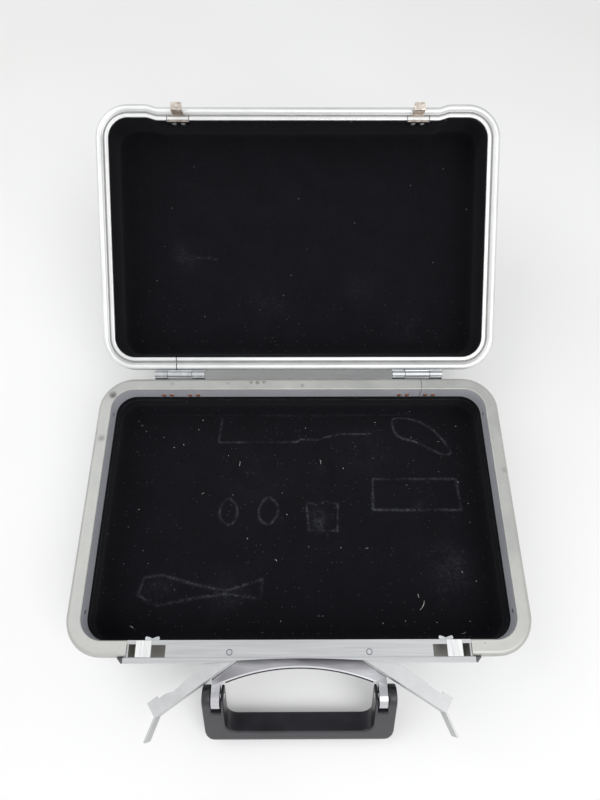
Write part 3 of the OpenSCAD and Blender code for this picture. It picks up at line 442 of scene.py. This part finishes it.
rubbed = add(tree, "MapRange", {"From Min": 0.36, "From Max": 0.66}, Value=broken.outputs["Fac"])
chalk_and_highlight = add(tree, "Math", {"operation": "MULTIPLY"}, _0=lines, _1=rubbed.outputs["Result"]).outputs["Value"]
colour = add(tree, "MixRGB", {"Color2": linear("#5c5e64")}, Fac=chalk_and_highlight, Color1=black).outputs["Color"]

# Two sizes of dust lie in cells that many millimetres wide. The radius of a speck is a share of its
# cell, and only a share of the cells holds one. The finer dust has settled low down, and little of it
# clings to the lid, which stands above the rim.
low_down = add(tree, "MapRange", {"From Min": base_h + 10 * mm, "From Max": base_h, "To Min": 0.25},
               Value=height).outputs["Result"]
for cell, radius, held, channel, shade, settled in ((3.0303, 0.16, 0.2, "Green", "#3a3a3d", True),
                                                    (7.6923, 0.06, 0.14, "Red", "#6c6c6a", False)):
    cells = add(tree, "TexVoronoi", {"Scale": 1 / (cell * mm)}, Vector=where).outputs
    near = add(tree, "Math", {"operation": "LESS_THAN", 1: radius}, _0=cells["Distance"]).outputs["Value"]
    chance = add(tree, "SeparateColor", Color=cells["Color"]).outputs[channel]
    few = add(tree, "Math", {"operation": "LESS_THAN", 1: held}, _0=chance).outputs["Value"]
    specks = add(tree, "Math", {"operation": "MULTIPLY"}, _0=near, _1=few).outputs["Value"]
    if settled:
        specks = add(tree, "Math", {"operation": "MULTIPLY"}, _0=specks, _1=low_down).outputs["Value"]
    colour = add(tree, "MixRGB", {"Color2": linear(shade)}, Fac=specks, Color1=colour).outputs["Color"]
tree.links.new(colour, shader.inputs["Base Color"])
shader.inputs["Roughness"].default_value = 0.95
shader.inputs["Specular IOR Level"].default_value = 0.1
shader.inputs["Sheen Weight"].default_value = 0.04
shader.inputs["Sheen Roughness"].default_value = 0.6
fuzz = add(tree, "Bump", {"Strength": 0.6, "Distance": 0.5 * mm}, Height=nap)
tree.links.new(fuzz.outputs["Normal"], shader.inputs["Normal"])


def felt_tray(points, level, floor_level, set_back, cell, low, high):
    """Felt walls carried right round, and a flat floor between the corners low and high, in cells
    of that many millimetres, which ripples slightly away from its edges."""
    bm = open_tray(points, level, set_back)
    wide, deep = high[0] - low[0], high[1] - low[1]
    middle = ((low[0] + high[0]) / 2 * mm, (low[1] + high[1]) / 2 * mm, floor_level - 0.03 * mm)
    made = bmesh.ops.create_grid(bm, x_segments=round(wide / cell), y_segments=round(deep / cell), size=0.5)
    bmesh.ops.scale(bm, vec=(wide * mm, deep * mm, 1), verts=made["verts"])
    bmesh.ops.translate(bm, verts=made["verts"], vec=middle)
    flat_border, ripple_height = 12 * mm, 0.15 * mm
    for v in made["verts"]:
        x, y = v.co.x, v.co.y
        from_edge = min(x - low[0] * mm, high[0] * mm - x, y - low[1] * mm, high[1] * mm - y)
        ripple = math.sin(x * 41 + 1.3) * math.sin(y * 53 + 0.4) + 0.6 * math.sin(x * 97 + y * 71)
        v.co.z += min(max(from_edge / flat_border, 0), 1) * ripple_height * ripple
    return bm


def away(points, a, b):
    """Distance of each point from the line between a and b."""
    a, b = np.array(a), np.array(b)
    along = np.clip(((points - a) @ (b - a)) / ((b - a) @ (b - a)), 0, 1)
    return np.linalg.norm(points - (a + along[:, None] * (b - a)), axis=1)


def chalked(bm, lines, patches, floor_level):
    """Gives each point of the felt's floor its share of chalk."""
    layer = bm.verts.layers.float.new("chalk")
    verts = [v for v in bm.verts if abs(v.co.z - floor_level) < 1 * mm]
    points = np.array([(v.co.x / mm, v.co.y / mm) for v in verts])
    amount = np.zeros(len(points))
    for width, strength, line in lines.values():
        for a, b in zip(line, line[1:]):
            amount = np.maximum(amount, strength * np.exp(-(away(points, a, b) / width) ** 2))
    for x, y, radius, strength in patches:
        far = np.linalg.norm(points - np.array((x, y)), axis=1) / radius
        amount = np.maximum(amount, strength * np.exp(-far ** 2) * 0.8)
    for v, much in zip(verts, amount):
        v[layer] = float(much)


def block(bm, low, high, ease):
    """A small block between two corners, in millimetres, with its edges eased."""
    made = bmesh.ops.create_cube(bm, size=1)["verts"]
    bmesh.ops.scale(bm, vec=[(b - a) * mm for a, b in zip(low, high)], verts=made)
    bmesh.ops.translate(bm, vec=[(a + b) / 2 * mm for a, b in zip(low, high)], verts=made)
    edges = list(dict.fromkeys(e for v in made for e in v.link_edges))
    bmesh.ops.bevel(bm, geom=edges, offset=ease * mm, affect="EDGES", segments=2, profile=0.5, material=-1)


# In front, a strip of the felt is carried up over the back of the latch bar.
felt_points = ([(10.6, -15.6), (11.4, -15.6), (12.05, -16.3)]
               + arc(20.05, felt_edge - felt_floor, felt_edge, 180, 270, 8) + [(22.5, -felt_floor)])
bm = felt_tray(felt_points, base_h, floor_z, None, 1.05, (-160.5, -97.5), (160.5, 97.5))
chalked(bm, outlines, smudges, floor_z)
block(bm, (-131, -107.54, 54.4), (131, -105.97, 69.0), 0.4)
piece(bm, "base_felt", "base", felt, ("base_lining", "base_foam"), 60)

# Lint and thread ends: short pale fibres caught in the nap, each a thin bent strand, given as
# (x, y, direction in degrees, length in millimetres). The last ones are scattered by a formula.
lint, tree, shader, where = surface("pale_lint")
speck = add(tree, "TexNoise", {"Scale": 1 / (3.333 * mm)}, Vector=where).outputs["Fac"]
pale = add(tree, "ValToRGB", {"stops": ((0.3, "#8f8e89"), (0.7, "#dcdad4"))}, Fac=speck).outputs["Color"]
tree.links.new(pale, shader.inputs["Base Color"])
shader.inputs["Roughness"].default_value = 0.9
lint_z, lint_bend = 28.38, 24
threads = [(105.2, -78.3, 60, 9.0), (102, -70, 100, 3.0), (-55.3, 48.4, 80, 4.5), (20.8, 50, 95, 4.0),
           (137, -100, 20, 4.0), (-139.8, -94, 150, 3.5), (-88, 20, 30, 2.5), (60, -30, 10, 2.5),
           (-20, -40, 140, 2.0), (148, 30, 70, 2.5)]
threads += [(155 * math.sin(2.399 * k + 0.7), 93 * math.sin(1.7 * k * k + 0.3), 47 * k,
             0.7 + 0.8 * ((k * 7) % 5) / 5) for k in range(30)]
bm = bmesh.new()
for x, y, direction, length in threads:
    half_width = 0.24 if length > 5 else 0.16 if length > 2 else 0.2
    rings = []
    for k in range(5):
        t = k / 4 - 0.5
        bend = math.radians(direction + lint_bend * t)
        toward = Vector((math.cos(bend), math.sin(bend), 0))
        middle = Vector((x, y, lint_z + 0.1 * math.sin(5 * t))) + toward * length * t
        over, up = Vector((-toward.y, toward.x, 0)) * half_width, Vector((0, 0, 0.12))
        rings.append([bm.verts.new((middle + offset) * mm) for offset in (over, up, -over, -up)])
    for a, b in zip(rings, rings[1:]):
        for i in range(4):
            bm.faces.new((a[i], a[(i + 1) % 4], b[(i + 1) % 4], b[i]))
    bm.faces.new(rings[0])
    bm.faces.new(rings[-1])
piece(bm, "base_lint", "base", lint)


# Hinges. Two butt hinges of plated steel: leaves riveted through the frames, and a pin
# through three knuckles. Their faces keep the shape of the CAD nodes, with their edges eased.
hinge_axis = Vector(joints["lid_hinge"]["pos_m"])
low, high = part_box("hinge_pin_right")
hinge_x = (low.x + high.x) / 2
knuckle_joint, oil_radius, oil_width = 11.35 * mm, 2.84 * mm, 0.5 * mm


def own_shape(node):
    """A node's own shape, in faces as large as they can be."""
    bm = bmesh.new()
    bm.from_mesh(frame["nodes"][node].data)
    bmesh.ops.transform(bm, matrix=frame["nodes"][node].matrix_world, verts=bm.verts)
    bmesh.ops.remove_doubles(bm, verts=bm.verts, dist=0.001 * mm)
    bmesh.ops.dissolve_limit(bm, angle_limit=math.radians(1), verts=bm.verts, edges=bm.edges)
    return bm


def eased(node, body, material, ease):
    """A node's own shape again, with its sharp outer edges eased by that many millimetres."""
    bm = own_shape(node)
    sharp = [e for e in bm.edges
             if len(e.link_faces) == 2 and e.is_convex and e.calc_face_angle(0) > math.radians(40)]
    bmesh.ops.bevel(bm, geom=sharp, offset=ease * mm, affect="EDGES", segments=2, profile=0.5,
                    material=-1, clamp_overlap=True)
    bmesh.ops.triangulate(bm, faces=[f for f in bm.faces if len(f.verts) > 4])
    return piece(bm, node + "_eased", body, material, (node,), 16)


def dress(material, *nodes):
    """Gives CAD nodes their material."""
    for node in nodes:
        mesh = frame["nodes"][node].data
        mesh.materials.clear()
        mesh.materials.append(material)


# Zinc-plated steel, dull bright: a cool grey with a faint mottled spangle.
zinc = metal("zinc_plated_steel", "#adafb2", "#c6c8ca", (0.3, 0.44), 6.25, 1.667, 0.05)[0]
for hand in ("left", "right"):
    eased("hinge_base_leaf_" + hand, "base", zinc, 0.2)
    eased("hinge_lid_leaf_" + hand, "lid", zinc, 0.2)
dress(zinc, "hinge_pin_left", "hinge_pin_right", "base_frame_rivets", "lid_frame_rivets")

# Old oil has gone black between the knuckles.
bm = bmesh.new()
inner, outer = hinge_x - knuckle_joint, hinge_x + knuckle_joint
for x in (-outer, -inner, inner, outer):
    along_pin = Matrix.Translation((x, hinge_axis.y, hinge_axis.z)) @ Matrix.Rotation(math.pi / 2, 4, "Y")
    bmesh.ops.create_cone(bm, cap_ends=True, segments=40, radius1=oil_radius, radius2=oil_radius,
                          depth=oil_width, matrix=along_pin)
piece(bm, "hinge_oil_rings", "base", grime_and_shade)

# Copper rivets, set cold with a domed head: orange-brown, a little tarnished in the hollows.
copper = metal("set_copper_rivet", "#6f3d29", "#c98c6c", (0.3, 0.4), 1.4286, 1.4286, 0.3, metallic=0.6)[0]
dress(copper, "hinge_base_rivets", "hinge_lid_rivets")


# Latch channel. A box section folded from 1.2 mm bright aluminium sheet, whose bowed front lip
# carries the levers on two rivets. A window at each end lets the lid's hook down to its lever.
# Rolled sheet: bright, with long fine marks along it. Shade is painted on it: dark below its top, inside the
# channel, and a dark line at the lip's fold.
lip_fold_y, window_rear_y, hook_room = -118.2 * mm, -109.4 * mm, 0.08 * mm
bar_metal, tree, shader, where, tone = metal("bright_rolled_aluminium", "#adaeb0", "#bebfc0", (0.38, 0.5),
                                             1.282, 0.4808, lay=(6 / 260, 1, 1), metallic=0.85)
place = add(tree, "SeparateXYZ", Vector=where).outputs
# Painted shade: a darker brown-grey inside the channel, below its top.
depth = add(tree, "MapRange", {"From Min": base_h - 4 * mm, "From Max": base_h - 1 * mm, "To Min": 0.4},
            Value=place["Z"]).outputs["Result"]
shaded = add(tree, "MixRGB", {"Color1": linear("#5b5647")}, Fac=depth, Color2=tone).outputs["Color"]
# Painted shade: a dark line along the lip's fold.
off = add(tree, "Math", {"operation": "SUBTRACT", 1: lip_fold_y}, _0=place["Y"]).outputs["Value"]
off = add(tree, "Math", {"operation": "ABSOLUTE"}, _0=off).outputs["Value"]
painted_light_line = add(tree, "MapRange", {"From Min": 0.1 * mm, "From Max": 0.5 * mm, "To Min": 0.35, "To Max": 0.0},
           Value=off).outputs["Result"]
fold_shaded = add(tree, "MixRGB", {"Color2": linear("#6c6d6e")}, Fac=painted_light_line, Color1=shaded).outputs["Color"]
tree.links.new(fold_shaded, shader.inputs["Base Color"])
channel = eased("latch_channel", "base", bar_metal, 0.22)
for v in channel.data.vertices:
    if abs(v.co.y - window_rear_y) < 0.02 * mm:
        v.co.y += hook_room    # the windows' rear edges, rubbed back where the hooks slide in
eased("lever_rivets", "base", zinc, 0.4)

# Keeper plates, of the same sheet, scraped to bright ridges where the hooks slide in.
scraped = metal("scraped_bright_aluminium", "#c4c5c5", "#eeeeee", (0.4, 0.5), 0.6667, 0.3333, 0.2,
                (1, 1 / 37.5, 1 / 37.5), 0.6)[0]
for hand in ("left", "right"):
    eased("keeper_plate_" + hand, "base", scraped, 0.2)

# A dark ring round each lever rivet's head is painted shade, standing for the shaded gap round the head.
rivet_radius, shade_spread, shade_thickness = 1.8 * mm, 1.25, 0.12 * mm
bm = bmesh.new()
for pivot in ("left_lever_pivot", "right_lever_pivot"):
    x, y, _ = joints[pivot]["pos_m"]
    ring = bmesh.ops.create_circle(bm, segments=48, radius=rivet_radius,
                                   matrix=Matrix.Translation((x, y, base_h)))["verts"]
    edges = list(dict.fromkeys(e for v in ring for e in v.link_edges))
    grown = bmesh.ops.extrude_edge_only(bm, edges=edges)["geom"]
    outer = [g for g in grown if isinstance(g, bmesh.types.BMVert)]
    bmesh.ops.scale(bm, vec=(shade_spread, shade_spread, 1), space=Matrix.Translation((-x, -y, 0)), verts=outer)
bmesh.ops.solidify(bm, geom=bm.faces, thickness=shade_thickness)
piece(bm, "lever_rivet_painted_shade", "base", grime_and_shade)
dress(zinc, "lever_washers", "lever_bushes")
for hand in ("left", "right"):
    eased("hook_spring_" + hand, "base", zinc, 0.12)

# Blued spring steel: nearly black, with a satin gloss and browner patches. Its near-black is painted shade:
# on the end brackets it stands for the dark hollow at the latch bar's ends, and behind the hooks for the
# shade round their plates.
blued_shade = metal("blued_steel_painted_shade", "#4a4b50", "#6c6a68", (0.34, 0.44), 5, 2)[0]
eased("latch_end_brackets", "base", blued_shade, 0.2)


# Handle bracket. A steel pressing, chromium plated: a bowed shelf under the lip, a flange
# riveted to the shell, and two thick lugs that the handle swings on. The shelf's front is an arch
# between two horns, in millimetres.
arch_y, horn_x, horn_y, plate_z = -125.2, 57.5, -135.2, 49.75
arch_r = (horn_x ** 2 + (arch_y - horn_y) ** 2) / (2 * (arch_y - horn_y))
arch_middle_y = (arch_y - arch_r) * mm

# Chromium plate: a clear mirror. Shade is painted on it in streaks under the lip and toward its left end,
# and a bright line along the arch is a painted highlight.
chrome, tree, shader, where, tone = metal("chromium_plated_steel", "#bcbcc0", "#cdcdd1", (0.12, 0.24),
                                          7.6923, 1.923, 0.03, (14 / 130, 1, 1))
place = add(tree, "SeparateXYZ", Vector=where).outputs
# Painted shade: darker in streaks under the lip.
under = add(tree, "MapRange", {"From Min": -130 * mm, "From Max": -120 * mm}, Value=place["Y"])
streaky = add(tree, "Mapping", {"Scale": (18 / 150, 1, 1)}, Vector=where).outputs["Vector"]
wavy = add(tree, "TexNoise", {"Scale": 1 / (6.6667 * mm), "Detail": 3.0}, Vector=streaky).outputs["Fac"]
cloudy = add(tree, "MapRange", {"From Min": 0.35, "From Max": 0.6, "To Min": 0.4, "To Max": 0.95}, Value=wavy)
painted_shade = add(tree, "Math", {"operation": "MULTIPLY"}, _0=under.outputs["Result"],
           _1=cloudy.outputs["Result"]).outputs["Value"]
# Painted shade: darker toward the shelf's left end.
left_end = add(tree, "MapRange", {"From Min": -30 * mm, "From Max": -60 * mm, "To Max": 0.55},
               Value=place["X"])
on_shelf = add(tree, "MapRange", {"From Min": -139 * mm, "From Max": -134 * mm},
               Value=place["Y"]).outputs["Result"]
left_end = add(tree, "Math", {"operation": "MULTIPLY"}, _0=left_end.outputs["Result"], _1=on_shelf)
painted_shade = add(tree, "Math", {"operation": "MAXIMUM"}, _0=painted_shade, _1=left_end.outputs["Value"]).outputs["Value"]
dim = add(tree, "MixRGB", {"Color2": linear("#5f5c60")}, Fac=painted_shade, Color1=tone).outputs["Color"]
# Painted highlight: a bright line along the arch's front edge.
flat = add(tree, "Mapping", {"Scale": (1, 1, 0)}, Vector=where).outputs["Vector"]
bow = add(tree, "VectorMath", {"operation": "DISTANCE", 1: (0, arch_middle_y, 0)}, _0=flat).outputs["Value"]
painted_highlight = add(tree, "MapRange", {"From Min": (arch_r + 1.3) * mm, "From Max": (arch_r + 0.7) * mm},
               Value=bow)
painted_highlight = add(tree, "Math", {"operation": "MULTIPLY"}, _0=painted_highlight.outputs["Result"], _1=on_shelf)
edged = add(tree, "MixRGB", {"Color2": linear("#f3f3f6")}, Fac=painted_highlight.outputs["Value"], Color1=dim)
tree.links.new(edged.outputs["Color"], shader.inputs["Base Color"])
eased("handle_bracket", "base", chrome, 0.5)
dress(chrome, "bracket_rivets", "handle_pins")

# A thin dark line under the shelf's bright bowed front is painted shade, the dark reflection under its lower
# edge.
reach = math.asin(horn_x / arch_r)
shade_line_points = ((arch_r - 0.02, plate_z - 1.2), (arch_r - 1, plate_z - 2), (arch_r - 1, plate_z - 4.6),
               (arch_r - 0.02, plate_z - 4.8))
bm = bmesh.new()
corners = [bm.verts.new((-r * math.sin(reach) * mm, arch_middle_y + r * math.cos(reach) * mm, z * mm))
           for r, z in shade_line_points]
edges = [bm.edges.new(pair) for pair in zip(corners, corners[1:] + corners[:1])]
swing(bm, edges, 0, arch_middle_y, -2 * math.degrees(reach), 48)
cap_ends(bm)
piece(bm, "bracket_painted_shade_line", "base", grime_and_shade)


# Lid closure frame. A second extrusion, with a round outer bead, a groove and a raised inner
# lip, bent round the lid's mouth. Its front is set back between the latches in two soft steps.
# It is drawn as if the lid lay at the origin with its hinges behind it. Then lid_place turns its
# hinges to the base's, and leans it back on them.
lean = math.radians(180 - joints["lid_hinge"]["range_deg"][1])
half_turn = Matrix.Rotation(math.pi, 4, "Z")
lid_place = (Matrix.Translation(hinge_axis) @ Matrix.Rotation(lean, 4, "X")
             @ Matrix.Translation((0, hinge_axis.y, base_h - hinge_axis.z)) @ half_turn)
lid_set_back = (124 * mm, 136 * mm, 2.6 * mm)
lip_points = ([(0, -rim_depth)] + arc(3.4, -3.4, 3.4, 180, 40, 14) + [(6.7, -1.5), (7.9, -1.5)]
              + arc(9.3, -0.9, 0.9, 150, 90, 4) + arc(11.1, -0.9, 0.9, 90, 0, 6)
              + [(rim_width, -rim_depth), (inner_leg, -rim_depth), (inner_leg, -3), (4.4, -3), (wall, -4.6)])

# The same satin extrusion in a lit copy, painted brighter than the base frame, with painted shade toward the
# groove.
lit_lip_metal, tree, shader, where, tone = metal("extruded_aluminium_painted_bright", "#d8d9d8", "#e8e9e8", (0.4, 0.5),
                                             45.45, 2.38, 0.08, metallic=0.85)
# Painted shade: darker toward the groove, and a little on the inner lip.
inset = add(tree, "Attribute", {"attribute_name": "inset"}).outputs["Fac"]
rise = add(tree, "MapRange", {"From Min": 3.6, "From Max": 6.6}, Value=inset).outputs["Result"]
fall = add(tree, "MapRange", {"From Min": 9.4, "From Max": 8.0, "To Min": 0.25},
           Value=inset).outputs["Result"]
groove_shaded = add(tree, "Math", {"operation": "MULTIPLY"}, _0=rise, _1=fall).outputs["Value"]
groove_shaded = add(tree, "Math", {"operation": "MULTIPLY", 1: 0.4}, _0=groove_shaded).outputs["Value"]
groove_shaded_tone = add(tree, "MixRGB", {"Color2": linear("#8c8c8b")}, Fac=groove_shaded, Color1=tone).outputs["Color"]
tree.links.new(groove_shaded_tone, shader.inputs["Base Color"])
piece(jointed_ring(lip_points, 0, 0, lid_set_back), "lid_rim", "lid", lit_lip_metal,
      ("lid_frame",), place=lid_place)
seam("lid_seam", "lid", lip_points, 0, 0.85, lid_place)

# A dark line laid in the groove is painted shade.
groove_shade = metal("groove_painted_shade", "#828282", "#9c9c9b", (0.6, 0.7), 11.11, 2, metallic=0.3)[0]
groove_points = [(6.5, -1.52), (6.75, -1.38), (7.75, -1.38), (8.0, -1.52)]
piece(jointed_ring(groove_points, 0, 0, lid_set_back), "lid_groove_painted_shade", "lid", groove_shade,
      place=lid_place)


# Lid shell. The second drawn tray, shallower than the base and of the same sheet, with its
# front wall set back as its frame is.
lid_floor = 45
lid_shell_points = ([(shell_inset, -shell_top)]
                    + arc(shell_inset + shell_edge, shell_edge - lid_floor, shell_edge, 180, 270, 14)
                    + [(26, -lid_floor)])
bm = open_tray(lid_shell_points, 0, lid_set_back)
draw_sheet(bm, -lid_floor * mm)
piece(bm, "lid_shell_drawn", "lid", shell_metal, ("lid_shell",), place=lid_place)


# Lid lining. The same black felt, pressed into the lid, with faint rubbed scuffs where the
# contents leant on it.
lid_felt_floor = 38
lid_marks = {"scratch": (0.6, 0.4, [(105, 12), (90, 10), (78, 13)])}
lid_smudges = [(110, 10, 12, 0.15), (-60, 40, 16, 0.08), (30, 60, 20, 0.08), (-110, 80, 16, 0.08)]
lid_felt_points = ([(12.05, -1.2), (12.3, -1.0), (12.8, -1.0), (13.3, -1.4)]
                   + arc(21.05, felt_edge - lid_felt_floor, felt_edge, 180, 270, 8)
                   + [(24, -lid_felt_floor)])
bm = felt_tray(lid_felt_points, 0, -lid_felt_floor * mm, lid_set_back, 1.5, (-159.5, -96), (159.5, 96.5))
chalked(bm, lid_marks, lid_smudges, -lid_felt_floor * mm)
piece(bm, "lid_felt", "lid", felt, ("lid_lining", "lid_foam"), 60, place=lid_place)


# Hooks. One stamped steel hook stands on the lid's rim over each latch window, held by two
# rivets. The lever draws it down when the case is shut.
hook_inner, hook_outer = 97.05, 116.55

# Nickel plate, warm in tone. Its plate below the rim is painted darker, a painted shade, and its upright end
# keeps its plain tone.
nickel, tree, shader, where, tone = metal("nickel_plated_steel", "#94887d", "#e2d9d0", (0.24, 0.36),
                                          3.0303, 2, 0.06)
# Painted shade: darker below the lid's rim plane.
shift = add(tree, "VectorMath", {"operation": "SUBTRACT", 1: hinge_axis}, _0=where).outputs["Vector"]
lid_up = (0, -math.sin(lean), math.cos(lean))
above = add(tree, "VectorMath", {"operation": "DOT_PRODUCT", 1: lid_up}, _0=shift).outputs["Value"]
clear = add(tree, "MapRange", {"From Min": -1 * mm, "From Max": 0.6 * mm}, Value=above).outputs["Result"]
painted_shade = add(tree, "MixRGB", {"Color1": linear("#4a4543")}, Fac=clear, Color2=tone).outputs["Color"]
tree.links.new(painted_shade, shader.inputs["Base Color"])
for hand in ("left", "right"):
    eased("lid_hook_" + hand, "lid", nickel, 0.3)

# Thin dark sheets behind and beside each hook's plate are painted shade: a dark outline round it.
bm = bmesh.new()
for way in (1, -1):
    low, high = sorted((way * (hook_inner + 0.25), way * (hook_outer - 0.25)))
    block(bm, (low, -102.2, -7.9), (high, -101.9, -0.4), 0.1)
    for edge in (way * hook_inner, way * hook_outer):
        block(bm, (edge - 0.35, -107.3, -0.4), (edge + 0.35, -102, 0.08), 0.05)
piece(bm, "lid_hook_painted_shade_outline", "lid", blued_shade, place=lid_place)
dress(lit_lip_metal, "lid_hook_rivets")


# Latch levers. Cranked levers of plated steel sheet, folded down along the front, which draw
# the hooks down as they close. Each ends in a bent finger tab. Plated satin: an even pale grey.
lever_metal = metal("satin_plated_lever", "#b7b8b9", "#c5c6c6", (0.38, 0.5), 16.667, 2, 0.06,
                    metallic=0.85)[0]
for hand in ("left", "right"):
    eased("latch_lever_" + hand, "lever_" + hand, lever_metal, 0.3)


# Handle. One black phenolic moulding, U-shaped, with thick rounded edges, slotted at both
# ends over the lugs and worn glossy where fingers hold it. Moulded phenolic: near-black, half gloss.
grip_cell, grip_passes = 0.7 * mm, 16
moulded, tree, shader, where = surface("moulded_black_phenolic")
mould = add(tree, "TexNoise", {"Scale": 1 / (16.667 * mm), "Detail": 5.0, "Roughness": 0.65},
            Vector=where).outputs["Fac"]
dark = add(tree, "ValToRGB", {"stops": ((0.3, "#1a191e"), (0.7, "#2a292f"))}, Fac=mould).outputs["Color"]
tree.links.new(dark, shader.inputs["Base Color"])
rough = add(tree, "MapRange", {"To Min": 0.26, "To Max": 0.42}, Value=mould)
tree.links.new(rough.outputs["Result"], shader.inputs["Roughness"])
shader.inputs["IOR"].default_value = 1.55
grip = piece(own_shape("handle_grip"), "handle_moulding", "handle", moulded,
             ("handle_grip",), 180)
soften = grip.modifiers.new("soften", "REMESH")
soften.mode, soften.voxel_size = "VOXEL", grip_cell
smooth = grip.modifiers.new("smooth", "SMOOTH")
smooth.factor, smooth.iterations = 0.5, grip_passes
moulding = bpy.data.meshes.new_from_object(grip.evaluated_get(bpy.context.evaluated_depsgraph_get()))
grip.modifiers.clear()
grip.data = moulding
moulding.shade_smooth()
